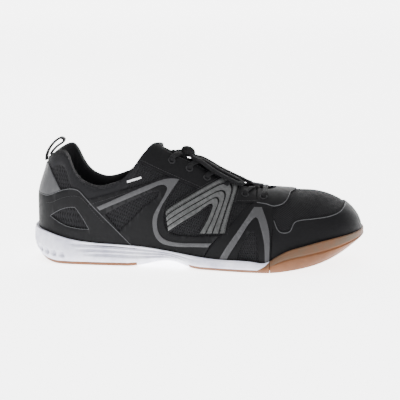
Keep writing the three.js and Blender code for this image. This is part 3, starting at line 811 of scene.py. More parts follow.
def effect_group(effect: Effect) -> bpy.types.NodeTree:
    """The node group of an effect, made the first time it is asked for.

    Args:
        effect: The effect.

    Returns:
        A group from a place in millimetres and a Pitch to a Height and a Mask.
    """
    name = effect.value.replace(" ", "_")
    if name in bpy.data.node_groups:
        return bpy.data.node_groups[name]
    tree = new_group(name, ("Pitch",), ("Height", "Mask"))
    web = Web(tree)
    source = web.add("NodeGroupInput")
    place = web.add("ShaderNodeVectorMath", {0: source.outputs[0]}, operation="SCALE")
    tree.links.new(web.math("DIVIDE", 1.0, source.outputs[1]), place.inputs["Scale"])
    at = place.outputs[0]
    parts = web.add("ShaderNodeSeparateXYZ", {0: at})
    x, y, z = parts.outputs
    turn = 2 * math.pi

    def wave(value: object, period: float) -> bpy.types.NodeSocket:
        """A 0 to 1 wave of a value."""
        return web.math("MULTIPLY_ADD", web.math("SINE", web.math("MULTIPLY", value, turn / period)), 0.5, 0.5)

    if effect is Effect.OPEN_MESH:
        bent = web.math("ADD", x, web.math("MULTIPLY", web.math("PINGPONG", y, 0.8), 0.75))
        ribs = wave(bent, 1.0)
        steps = wave(y, 0.8)
        holes = web.math(
            "MULTIPLY", web.math("POWER", web.math("SUBTRACT", 1.0, ribs), 2.0), web.math("POWER", steps, 1.5)
        )
        height = web.math("SUBTRACT", ribs, web.math("MULTIPLY", holes, 1.2))
        mask = holes
    elif effect is Effect.TWILL:
        warp = wave(web.math("ADD", x, y), 1.0)
        weft = wave(web.math("SUBTRACT", x, y), 0.62)
        height = web.math("MAXIMUM", web.math("MULTIPLY", warp, 0.9), web.math("MULTIPLY", weft, 0.7))
        mask = web.math("MULTIPLY", web.math("SUBTRACT", 1.0, warp), web.math("SUBTRACT", 1.0, weft))
    elif effect is Effect.BRAID:
        strand = web.math("PINGPONG", web.math("ADD", x, 40.0), 1.0)
        plait = wave(web.math("ADD", y, web.math("MULTIPLY", strand, 0.8)), 0.9)
        height = plait
        mask = web.math("POWER", web.math("SUBTRACT", 1.0, plait), 2.0)
    elif effect is Effect.BRUSHED:
        stretched = web.add(
            "ShaderNodeCombineXYZ", {0: web.math("MULTIPLY", x, 0.12), 1: web.math("MULTIPLY", y, 3.0), 2: z}
        )
        lines = web.add("ShaderNodeTexNoise", {"Vector": stretched.outputs[0], "Scale": 1.4, "Detail": 3.0})
        height = lines.outputs[0]
        mask = web.spread(
            web.add("ShaderNodeTexNoise", {"Vector": at, "Scale": 0.3, "Detail": 2.0}).outputs[0], -0.5, 1.5
        )
    elif effect is Effect.GRAIN:
        cells = web.add("ShaderNodeTexVoronoi", {"Vector": at, "Scale": 1.0}, feature="SMOOTH_F1")
        crease = web.add("ShaderNodeTexNoise", {"Vector": at, "Scale": 0.35, "Detail": 4.0, "Roughness": 0.6})
        height = web.math(
            "ADD", web.math("SUBTRACT", 1.0, cells.outputs[0]), web.math("MULTIPLY", crease.outputs[0], 0.8)
        )
        mask = crease.outputs[0]
    else:
        fine = web.add("ShaderNodeTexNoise", {"Vector": at, "Scale": 1.3, "Detail": 3.0})
        broad = web.add("ShaderNodeTexNoise", {"Vector": at, "Scale": 0.045, "Detail": 4.0, "Roughness": 0.62})
        height = fine.outputs[0]
        mask = web.spread(broad.outputs[0], -0.6, 1.6)
    web.add("NodeGroupOutput", {0: height, 1: mask})
    return tree


def wear_group() -> bpy.types.NodeTree:
    """The node group that lightens handled edges and paints shade into hollows, from the surface's own
    curvature.

    Returns:
        A group from a place in millimetres to Edge and Dust wear masks and a Hollow mask of painted shade.
    """
    if "edge_wear" in bpy.data.node_groups:
        return bpy.data.node_groups["edge_wear"]
    tree = new_group("edge_wear", (), ("Edge", "Dust", "Hollow"))
    web = Web(tree)
    source = web.add("NodeGroupInput")
    curved = web.add("ShaderNodeNewGeometry").outputs["Pointiness"]
    patch = web.add(
        "ShaderNodeTexNoise", {"Vector": source.outputs[0], "Scale": 0.22, "Detail": 3.0}
    ).outputs[0]
    edge = web.add("ShaderNodeMapRange", {"Value": curved, "From Min": 0.52, "From Max": 0.62}).outputs[0]
    dust = web.add("ShaderNodeMapRange", {"Value": patch, "From Min": 0.42, "From Max": 0.7}).outputs[0]
    # Hollow mask: painted shade where the surface is concave, in grooves, windows and recesses.
    hollow_shade = web.add("ShaderNodeMapRange", {"Value": curved, "From Min": 0.49, "From Max": 0.4}).outputs[0]
    web.add("NodeGroupOutput", {0: web.math("MULTIPLY", edge, web.spread(patch, 0.3, 1.2)), 1: dust, 2: hollow_shade})
    return tree


@dataclass(frozen=True)
class Finish:
    """One finish of the shoe."""

    name: str
    colour: str
    shade: str
    effect: Effect
    pitch: float = 1.0
    roughness: Point2 = (0.6, 0.8)
    relief: float = 0.1
    sheen: float = 0.0
    coat: float = 0.0
    edge: float = 0.12
    on_surface: bool = True
    specular: float = 0.25
    glow: float = 0.0
    front_effect: Effect | None = None
    front_pitch: float = 1.0
    band: tuple[str, float] | None = None
    slot: str = "black_synthetic"

    def material(self) -> bpy.types.Material:
        """The finish's material, made the first time it is asked for.

        Returns:
            The material.
        """
        name = f"finish_{self.name}"
        if name in bpy.data.materials:
            return bpy.data.materials[name]
        made = bpy.data.materials.new(name)
        made.use_nodes = True
        made.node_tree.nodes.clear()
        web = Web(made.node_tree)
        if self.on_surface:
            source = web.add("ShaderNodeUVMap", uv_map="surface").outputs[0]
        else:
            source = web.add("ShaderNodeTexCoord").outputs["Object"]
        place = web.add("ShaderNodeVectorMath", {0: source}, operation="SCALE")
        place.inputs["Scale"].default_value = 1000.0
        at = place.outputs[0]
        object_at = web.add(
            "ShaderNodeVectorMath", {0: web.add("ShaderNodeTexCoord").outputs["Object"]}, operation="SCALE"
        )
        object_at.inputs["Scale"].default_value = 1000.0
        texture = web.add("ShaderNodeGroup", node_tree=effect_group(self.effect))
        web.tree.links.new(at, texture.inputs[0])
        texture.inputs[1].default_value = self.pitch
        height, mask = texture.outputs
        if self.front_effect:
            front = web.add("ShaderNodeGroup", node_tree=effect_group(self.front_effect))
            web.tree.links.new(at, front.inputs[0])
            front.inputs[1].default_value = self.front_pitch
            along = web.add("ShaderNodeSeparateXYZ", {0: at}).outputs[0]
            ahead = web.add(
                "ShaderNodeMapRange", {"Value": along, "From Min": 214.0, "From Max": 216.0}
            ).outputs[0]
            height = web.add("ShaderNodeMix", {0: ahead, 2: height, 3: front.outputs[0]}).outputs[0]
            mask = web.add("ShaderNodeMix", {0: ahead, 2: mask, 3: front.outputs[1]}).outputs[0]
        wear_and_shade = web.add("ShaderNodeGroup", node_tree=wear_group())
        web.tree.links.new(object_at.outputs[0], wear_and_shade.inputs[0])
        colour: object = srgb(self.colour)
        if self.band:
            share = web.add("ShaderNodeAttribute", attribute_name="share").outputs["Fac"]
            high = web.add(
                "ShaderNodeMapRange",
                {"Value": share, "From Min": self.band[1] - 0.02, "From Max": self.band[1] + 0.02}
            ).outputs[0]
            colour = web.mix(high, colour, srgb(self.band[0]))
        colour = web.mix(mask, colour, srgb(self.shade))
        light = tuple(min(1.0, c * 1.8 + 0.012) for c in srgb(self.colour)[:3]) + (1.0,)
        colour = web.mix(web.math("MULTIPLY", wear_and_shade.outputs[0], self.edge), colour, light)
        # Painted shade: the colour darkened to 62% in concave hollows by the Hollow mask.
        painted_hollow_shade = tuple(c * 0.62 for c in srgb(self.colour)[:3]) + (1.0,)
        colour = web.mix(web.math("MULTIPLY", wear_and_shade.outputs[2], 0.7), colour, painted_hollow_shade)
        rough = web.spread(
            web.math("MULTIPLY_ADD", wear_and_shade.outputs[1], 0.5, web.math("MULTIPLY", mask, 0.5)), *self.roughness
        )
        bump = web.add("ShaderNodeBump", {"Strength": 0.9, "Distance": self.relief * MM, "Height": height})
        shader = web.add(
            "ShaderNodeBsdfPrincipled",
            {"Base Color": colour, "Roughness": rough, "Normal": bump.outputs[0], "Sheen Weight": self.sheen,
             "Sheen Roughness": 0.5, "Coat Weight": self.coat, "Coat Roughness": 0.35,
             "Specular IOR Level": self.specular, "Emission Color": (1.0, 1.0, 1.0, 1.0),
             "Emission Strength": self.glow},
        )
        web.add("ShaderNodeOutputMaterial", {0: shader.outputs[0]})
        return made


OPEN_MESH = Finish("open_mesh", "19191b", "040405", Effect.OPEN_MESH, 2.1, (0.7, 0.95), 0.5, 0.03,
                   front_effect=Effect.TWILL, front_pitch=2.0, specular=0.12, slot="mesh")
SYNTHETIC = Finish(
    "black_synthetic", "0d0d0f", "08080a", Effect.GRAIN, 0.7, (0.5, 0.68), 0.05, 0.0, 0.0, 0.5, specular=0.14
)
GREY_TRIM = Finish(
    "grey_synthetic", "454547", "39393b", Effect.GRAIN, 0.6, (0.45, 0.6), 0.03, 0.0, 0.0, 0.3,
    slot="grey_synthetic"
)
SILVER = Finish(
    "silver_film", "4b4c4c", "303131", Effect.BRUSHED, 1.0, (0.3, 0.45), 0.03, 0.0, 0.0, 0.3, specular=0.5,
    slot="silver_synthetic"
)
CUT_EDGE = Finish("cut_edge", "4e4f51", "404143", Effect.GRAIN, 0.4, (0.5, 0.65), 0.03, slot="grey_synthetic")
FABRIC = Finish(
    "padded_knit", "1b1b1d", "101012", Effect.TWILL, 0.9, (0.8, 0.97), 0.12, 0.04, specular=0.12, slot="lining"
)
INSOLE = Finish(
    "sockliner_knit", "1d1d1f", "121213", Effect.TWILL, 0.8, (0.85, 0.98), 0.1, 0.06, on_surface=False,
    slot="sockliner_fabric"
)
LACE = Finish(
    "braided_lace", "141416", "070708", Effect.BRAID, 1.1, (0.7, 0.9), 0.22, 0.03, specular=0.15, slot="lace"
)
WEBBING = Finish(
    "woven_webbing", "1a1a1c", "0b0b0c", Effect.BRAID, 1.2, (0.75, 0.92), 0.25, 0.06, slot="webbing"
)
THREAD = Finish(
    "stitch_thread", "202022", "151517", Effect.TWILL, 0.4, (0.6, 0.8), 0.05, 0.05, on_surface=False
)
DARK_THREAD = Finish(
    "dark_thread", "101011", "080809", Effect.TWILL, 0.4, (0.7, 0.85), 0.05, 0.02, on_surface=False
)
FOAM = Finish(
    "foam_midsole", "f0f0f8", "b2b2c6", Effect.MOULDED, 0.8, (0.5, 0.66), 0.03, 0.0, 0.0, 0.2, on_surface=False,
    slot="foam"
)
GUM = Finish("gum_rubber", "6d4325", "59361d", Effect.MOULDED, 0.8, (0.45, 0.62), 0.04, 0.0, 0.0, 0.2,
             on_surface=False, band=("453f34", 0.6), slot="gum_rubber")
AGLET = Finish(
    "aglet_sleeve", "1a1a1c", "2a2a2d", Effect.MOULDED, 0.5, (0.2, 0.32), 0.02, 0.0, 0.5, on_surface=False,
    slot="aglet_plastic"
)
MARK = Finish(
    "printed_mark", "e4e4e6", "d0d0d4", Effect.MOULDED, 0.5, (0.45, 0.6), 0.02, on_surface=False, slot="label"
)
BOARD = Finish("fibre_board", "4a4844", "3b3935", Effect.MOULDED, 0.6, (0.8, 0.95), 0.08, on_surface=False)
STIFFENER = Finish(
    "moulded_stiffener", "1f1f20", "171718", Effect.MOULDED, 0.8, (0.7, 0.85), 0.05, on_surface=False
)
FLOOR = Finish(
    "studio_floor", "fafafa", "f8f8f8", Effect.MOULDED, 6.0, (0.85, 0.95), 0.01, on_surface=False, glow=4.4
)


def make(
    bm: bmesh.types.BMesh, name: str, finish: Finish, motion: Motion, *nodes: str
) -> bpy.types.Object:
    """A piece on its body, from its shape."""
    return settle(new_piece(bm, name, finish.material()), motion, finish.slot, *nodes)


def panel(
    name: str, patterns: Sequence[Pattern], off: float, finish: Finish, thickness: float, motion: Motion,
    *nodes: str,
    holes: Sequence[Pattern] = (), bevel: float = 0.28,
) -> bpy.types.Object:
    """A cut sheet on its body; see lay and settle for what each argument is."""
    piece = lay(name, patterns, off, finish.material(), thickness, holes, bevel)
    return settle(piece, motion, finish.slot, *nodes)


# The studio


@dataclass
class Studio:
    """The pale floor, the soft lights and the camera."""

    target: tuple[float, float, float] = (152.0, 0.17, 55.0)
    azimuth: float = 5.0
    elevation: float = 11.0
    distance: float = 1.160
    lens: float = 113.85
    air: float = 0.55
    lights: tuple[tuple[str, Stop, float, float], ...] = (
        ("key", (0.45, -1.3, 1.5), 1.2, 9.0), ("fill", (-1.6, -0.8, 1.0), 1.6, 1.5),
        ("overhead", (0.1, 0.2, 1.9), 1.6, 10.0), ("rim", (-0.8, 1.3, 1.0), 1.2, 5.0),
    )

    def build(self) -> None:
        """Sets up everything round the shoe."""
        self._camera()
        self._floor()
        for light in self.lights:
            self._light(*light)
        world = bpy.data.worlds.new("studio_air")
        world.use_nodes = True
        air = world.node_tree.nodes["Background"]
        air.inputs["Color"].default_value = (1.0, 1.0, 1.0, 1.0)
        air.inputs["Strength"].default_value = self.air
        bpy.context.scene.world = world
        log.info("studio ready")

    def _camera(self) -> None:
        """Stands the camera at the viewing angle."""
        a, e = math.radians(self.azimuth), math.radians(self.elevation)
        back = Vector((math.sin(a) * math.cos(e), -math.cos(a) * math.cos(e), math.sin(e)))
        data = bpy.data.cameras.new("camera")
        data.lens = self.lens
        data.sensor_width = 36.0
        camera = bpy.data.objects.new("camera", data)
        bpy.context.scene.collection.objects.link(camera)
        camera.location = Vector(row(self.target)) + back * self.distance
        camera.rotation_mode = "QUATERNION"
        camera.rotation_quaternion = (-back).to_track_quat("-Z", "Y")
        bpy.context.scene.camera = camera

    def _floor(self) -> None:
        """Lays a floor whose back sweeps up into a wall."""
        bm = bmesh.new()
        line = [bm.verts.new(p) for p in ((-9, -6, -0.0005), (9, -6, -0.0005))]
        edge = bm.edges.new(line)
        for step in ((0, 11, 0), (0, 2, 0.5), (0, 1, 2), (0, 0, 5)):
            out = bmesh.ops.extrude_edge_only(bm, edges=[edge])["geom"]
            edge = next(g for g in out if isinstance(g, bmesh.types.BMEdge))
            bmesh.ops.translate(bm, verts=list(edge.verts), vec=step)
        bmesh.ops.recalc_face_normals(bm, faces=bm.faces)
        new_piece(bm, "floor", FLOOR.material())

    @staticmethod
    def _light(name: str, at: Stop, size: float, power: float) -> None:
        """Hangs one soft square light aimed at the shoe.

        Args:
            name: Its name.
            at: Where it hangs, in metres.
            size: The side of the square, in metres.
            power: Its power in watts.
        """
        data = bpy.data.lights.new(name, "AREA")
        data.size = size
        data.energy = power
        light = bpy.data.objects.new(name, data)
        bpy.context.scene.collection.objects.link(light)
        light.location = at
        light.rotation_euler = (Vector((0, 0, 0.05)) - Vector(at)).to_track_quat("-Z", "Y").to_euler()


# Laces


def even_frames(centres: Array, wanted: Array) -> Array:
    """Second axes for a flat cord that turns smoothly towards wanted directions.

    Args:
        centres: The cord's centreline.
        wanted: The direction that its flat face would like to look at each point.

    Returns:
        One unit direction for each point.
    """
    tangents = np.gradient(centres, axis=0)
    tangents /= np.maximum(np.linalg.norm(tangents, axis=1, keepdims=True), 1e-9)
    up = wanted[0]
    made = []
    for tangent, wish in zip(tangents, wanted, strict=True):
        up = up - tangent * (up @ tangent)
        up /= max(float(np.linalg.norm(up)), 1e-9)
        flat = wish - tangent * (wish @ tangent)
        weight = float(np.linalg.norm(flat))
        if weight > 0.3:
            flat /= weight
            if flat @ up < -0.2:
                flat = -flat
            up = up * (1 - 0.35 * weight) + flat * 0.35 * weight
            up /= max(float(np.linalg.norm(up)), 1e-9)
        made.append(up)
    return np.array(made)


@dataclass
class Laces:
    """The threaded lace, its bow and its two ends, all one flat braid."""

    width: float = 4.8
    thickness: float = 1.8
    bow_thickness: float = 3.0
    lateral_tail: tuple[Stop, ...] = (
        (139, 0, 0.2), (144.5, 0, -1.6), (152, -0.005, 0.3), (168, 0, 0), (184, -0.01, -0.3),
        (198, -0.03, -1.5),
    )
    medial_tail: tuple[Stop, ...] = (
        (138, 0.12, -0.5), (145, 0.23, 0), (156, 0.28, 1), (172, 0.3, 1), (186, 0.29, 1)
    )
    drop: tuple[Stop, ...] = (
        (139, 0.05, 0.2), (144.5, 0.09, -1.8), (151, 0.135, 0.2), (162, 0.17, 0), (178, 0.19, 0),
        (187, 0.18, -0.8), (190, 0.145, -0.8),
        (186, 0.11, -0.5), (170, 0.095, 0), (153, 0.08, 0.2), (145, 0.055, -1.8), (139, 0.03, 0.2),
    )

    def build(self) -> None:
        """Makes the bow, the ends, the threaded part and the knot."""
        for side in Side:
            self._loop(side)
            self._tail(side)
        self._threaded()
        self._knot()

    def _strand(self, stops: Sequence[Stop], per: int, thickness: float) -> tuple[bmesh.types.BMesh, Array]:
        """One flat strand through places on the last.

        Args:
            stops: Places as (s, t, distance from the last).
            per: Steps between stops.
            thickness: Its thickness, more where the braid is not pulled flat.

        Returns:
            The strand and its centreline in millimetres.
        """
        st = np.array(stops, float)
        points = LAST.place(st[:, 0], st[:, 1], st[:, 2])
        line = catmull(np.hstack([points, st[:, :2]]), per)
        line = spaced(line, 1.3)
        centres = line[:, :3]
        frames = even_frames(centres, LAST.normals(line[:, 3], line[:, 4]))
        section = oval(self.width, thickness, 12, 2.6)
        return sweep(centres, frames, section), centres

    def _loop(self, side: Side) -> None:
        """One ear of the bow, both ends in the knot.

        Args:
            side: The side on which the ear lies.
        """
        stops = [(x, side.value * t, BOW_UP + up) for x, t, up in self.drop]
        bm, line = self._strand(stops, 6, self.bow_thickness)
        piece = make(bm, f"lace_bow_{side.label}", LACE, Motion.REAR, f"bow_loop_{side.label}")
        self._declare(piece, line, "object")

    def _tail(self, side: Side) -> None:
        """One free end, with its sleeve.

        Args:
            side: The side on which the end lies.
        """
        stops = [
            (x, t, BOW_UP + up) for x, t,
            up in (self.lateral_tail if side is Side.LATERAL else self.medial_tail)
        ]
        bm, line = self._strand(stops, 6, self.bow_thickness)
        piece = make(bm, f"lace_tail_{side.label}", LACE, Motion.REAR, f"lace_end_{side.label}")
        x, t, up = stops[-1]
        tip = [(x + 0.4, t, up), (x + 4, t - 0.006, up), (x + 8, t - 0.013, up), (x + 12, t - 0.02, up)]
        st = np.array(tip)
        centres = spaced(LAST.place(st[:, 0], st[:, 1], st[:, 2]), 1.0)
        normals = np.repeat(LAST.normals(st[:1, 0], st[:1, 1]), len(centres), axis=0)
        tube = sweep(centres, normals, oval(3.4, 2.3, 12, 2.2))
        sleeve = make(tube, f"lace_tip_{side.label}", AGLET, Motion.REAR, f"aglet_{side.label}")
        self._declare(piece, line, "fitting", sleeve)

    def _declare(self, piece: bpy.types.Object, line: Array, end: str, *fitted: bpy.types.Object) -> None:
        """Works out the strand's centreline in the row frame and keeps nothing of it.

        Args:
            piece: The strand; not used.
            line: Its centreline in millimetres.
            end: What is at its far end; not used.
            fitted: The pieces on it; not used.
        """
        tuple(row(line[0]))
        [tuple(p) for p in row(line)]

    def _threaded(self) -> None:
        """The lace through its eyelets, as its two halves and the bar across the front."""
        whole = bmesh.new()
        strands = [
            self._strand([(212, s * 0.22, LACE_OVER - 2.2 * (1 - s * s)) for s in (-1, -0.5, 0, 0.5, 1)], 6,
                self.thickness)[0]
        ]
        for side in (-1, 1):
            strands.append(self._strand(self._run(side), 5, self.thickness)[0])
        for strand in strands:
            absorb(whole, strand)
        make(whole, "lace_threaded", LACE, Motion.BENDS, "lace")

    @staticmethod
    def _run(side: int) -> list[Stop]:
        """Stops of one half of the lace from the front bar to the knot.

        Args:
            side: -1 for the half that starts on the lateral side and 1 for the other.

        Returns:
            Places as (s, t, distance from the last).
        """
        stops: list[Stop] = [(212.0, side * 0.21, LACE_OVER)]
        lift = 2.3 if side < 0 else 0.2
        for i, x in enumerate(EYELET_X):
            here = side * (-1 if i % 2 else 1)
            sag = 1.2 if x > 185 else 0.0
            stops += [(x, here * 0.275, 2.5), (x, here * EYELET_T, -3.0)]
            if i + 1 < len(EYELET_X):
                d = EYELET_X[i + 1] - x
                stops += [
                    (x + 0.15 * d, here * 0.2, LACE_UNDER + 1), (x + 0.42 * d, here * 0.02, lift - sag),
                    (x + 0.72 * d, -here * 0.15, LACE_OVER),
                    (x + 0.92 * d, -here * 0.225, LACE_OVER),
                ]
        end = side * -1
        stops += [(130, end * 0.18, -5.0), (134, end * 0.07, 0.5), (138, end * 0.03, KNOT_UP)]
        return stops

    def _knot(self) -> None:
        """The wrapped knot under the bow: a soft core with one turn of lace over it."""
        core = bmesh.new()
        bmesh.ops.create_icosphere(core, subdivisions=3, radius=1.0)
        layer = core.loops.layers.uv.new("surface")
        for face in core.faces:
            for corner in face.loops:
                corner[layer].uv = (
                    corner.vert.co.y * 5 * MM, math.atan2(corner.vert.co.z, corner.vert.co.x) * 5 * MM
                )
        centre = Vector(row(LAST.place(139.0, 0.0, KNOT_UP)))
        for vert in core.verts:
            pinch = 1 + 0.12 * math.cos(3 * math.atan2(vert.co.z, vert.co.x)) - 0.18 * abs(vert.co.y) ** 2
            vert.co = Matrix.Rotation(0.45, 3, "Y") @ Vector(
                (vert.co.x * 6 * pinch, vert.co.y * 6.5, vert.co.z * 3.8 * pinch)
            )
            vert.co = centre + vert.co * MM
        angle = np.linspace(0, 2 * math.pi, 29)[:-1]
        turn = np.stack([6.0 * np.cos(angle), 0.9 * np.sin(angle * 2), 3.9 * np.sin(angle)], axis=1)
        lean = np.array(Matrix.Rotation(0.45, 3, "Y"))
        centres = turn @ lean.T + LAST.place(139.0, 0.0, KNOT_UP)
        normals = np.stack([np.cos(angle) / 6, 0 * angle, np.sin(angle) / 3.9], axis=1) @ lean.T
        absorb(core, sweep(centres, normals, oval(5.6, 1.4, 12, 3.0), closed=True))
        bmesh.ops.recalc_face_normals(core, faces=core.faces)
        make(core, "lace_knot_tied", LACE, Motion.REAR, "lace_knot")


# The upper


TOPLINE: tuple[Point2, ...] = (
    (8, 92), (14, 95), (20, 99.5), (27, 103), (32, 102.5), (36, 97), (40, 88), (45, 80), (52, 74.5), (62, 71.5),
    (72, 73), (84, 78), (91, 85), (97, 93), (102, 100), (108, 104.5), (117, 106),
)


def throat_edge(s: Array, half: float = THROAT_HALF) -> tuple[Array, Array]:
    """The place across the arch where the throat's edge lies, on the lateral and the medial side.

    Args:
        s: Places along the shoe.
        half: Half the width of the slot.

    Returns:
        The place t of the lateral and of the medial edge, for each s.
    """
    s = np.atleast_1d(np.asarray(s, float))
    t = np.linspace(0, 0.5, 120)
    made = []
    for sign in (-1, 1):
        y = LAST.bare(s[:, None], sign * t[None, :])[..., 1] - LAST.bare(s, np.zeros_like(s))[:, None, 1]
        made.append(sign * np.array([np.interp(half, np.abs(line), t) for line in y]))
    return made[0], made[1]


def throat_line(start: float, side: Side, half: float = THROAT_HALF) -> list[Point2]:
    """The throat's edge on the pattern plane from a place on it to the ridge at its round front.

    Args:
        start: Where it begins, from the back of the heel.
        side: The side of the shoe.
        half: Half the slot.

    Returns:
        Points as (s, t * RIDGE_SPREAD).
    """
    front = THROAT_FRONT
    s = np.concatenate(
        [np.arange(start, front - half, 2.6), front - half + half * np.sin(np.linspace(0, math.pi / 2, 9))]
    )
    wide = half * np.sqrt(np.clip(1 - np.clip((s - (front - half)) / half, 0, 1) ** 2, 0, 1))
    made = []
    for a, w in zip(s, wide, strict=True):
        t = throat_edge(np.array([a]), max(float(w), 1e-3))[0 if side is Side.LATERAL else 1][0]
        made.append((float(a), float(t) * RIDGE_SPREAD))
    made[-1] = (front, 0.0)
    return made


def topline_places(side: Side) -> list[Point2]:
    """The topline on the pattern plane from the back of the heel to the throat.

    Args:
        side: The side of the shoe.

    Returns:
        Points as (s, t * RIDGE_SPREAD).
    """
    line = Pattern.on_plane(run(*TOPLINE), side)
    line = [(LAST.s_heel, line[0][1]), *[p for p in line if p[0] > LAST.s_heel + 1.5]]
    return line


def floor_line(start: float, end: float, side: Side, step: float = 2.6) -> list[Point2]:
    """The floor edge of the pattern plane."""
    count = max(2, int(abs(end - start) / step))
    return [(start + (end - start) * i / count, side.value * RIDGE_SPREAD) for i in range(count + 1)]


def tidy_loop(points: Sequence[Point2], least: float = 0.3) -> tuple[Point2, ...]:
    """An outline without points closer than a distance.

    Args:
        points: The outline.
        least: The distance.

    Returns:
        The outline, thinned.
    """
    made: list[Point2] = []
    for p in points:
        if not made or math.dist(p, made[-1]) > least:
            made.append(p)
    while math.dist(made[0], made[-1]) < least:
        made.pop()
    return tuple(made)


def both(points: Sequence[Point2], cell: float = 2.6) -> list[Pattern]:
    """A side-view outline cut for both sides."""
    return [Pattern.seen(points, side, cell) for side in Side]


@dataclass
class Stitching:
    """Rows of short raised stitches."""

    pitch: float = 3.0
    length: float = 2.1
    width: float = 0.55

    def row_along(
        self, name: str, lines: Sequence[Sequence[Point2]], off: float, motion: Motion, finish: Finish = THREAD
    ) -> None:
        """Sews rows along lines on the pattern plane.

        Args:
            name: The piece's name.
            lines: Lines of (s, t * RIDGE_SPREAD).
            off: The stitches' distance from the last.
            motion: How the piece follows the joints.
            finish: The thread's finish.
        """
        bm = bmesh.new()
        for line in lines:
            st = np.array(line, float)
            points = LAST.place(st[:, 0], st[:, 1] / RIDGE_SPREAD, off)
            at = spaced(np.hstack([points, st]), self.pitch)
            normals = LAST.normals(at[:, 3], at[:, 4] / RIDGE_SPREAD)
            along = np.gradient(at[:, :3], axis=0)
            for p, n, d in zip(at[:, :3], normals, along, strict=True):
                u = Vector(d).normalized()
                w = Vector(n)
                side = w.cross(u).normalized()
                turn = Matrix(
                    (u * self.length / 2, side * self.width / 2, w * self.width * 0.4)
                ).transposed() * MM
                place = Matrix.Translation(Vector(row(p))) @ turn.to_4x4()
                bmesh.ops.create_icosphere(bm, subdivisions=1, radius=1.0, matrix=place)
        make(bm, name, finish, motion)


def edge_strip(
    name: str, lines: Sequence[Sequence[Point2]], off: float, motion: Motion, size: Point2 = (0.75, 0.8),
    closed: bool = False
) -> None:
    """A narrow piping laid along lines of the pattern plane.

    Args:
        name: The piece's name.
        lines: Lines of (s, t * RIDGE_SPREAD).
        off: The strip's distance from the last.
        motion: How the piece follows the joints.
        size: Its width and height.
        closed: Whether each line closes on itself.
    """
    whole = bmesh.new()
    for line in lines:
        st = np.array(line, float)
        if closed:
            st = np.vstack([st, st[:1]])
        points = LAST.place(st[:, 0], st[:, 1] / RIDGE_SPREAD, off)
        at = spaced(np.hstack([points, st]), 1.5)
        if closed:
            at = at[:-1]
        normals = LAST.normals(at[:, 3], at[:, 4] / RIDGE_SPREAD)
        absorb(whole, sweep(at[:, :3], normals, oval(*size, 8, 2.4), closed=closed))
    make(whole, name, CUT_EDGE, motion)


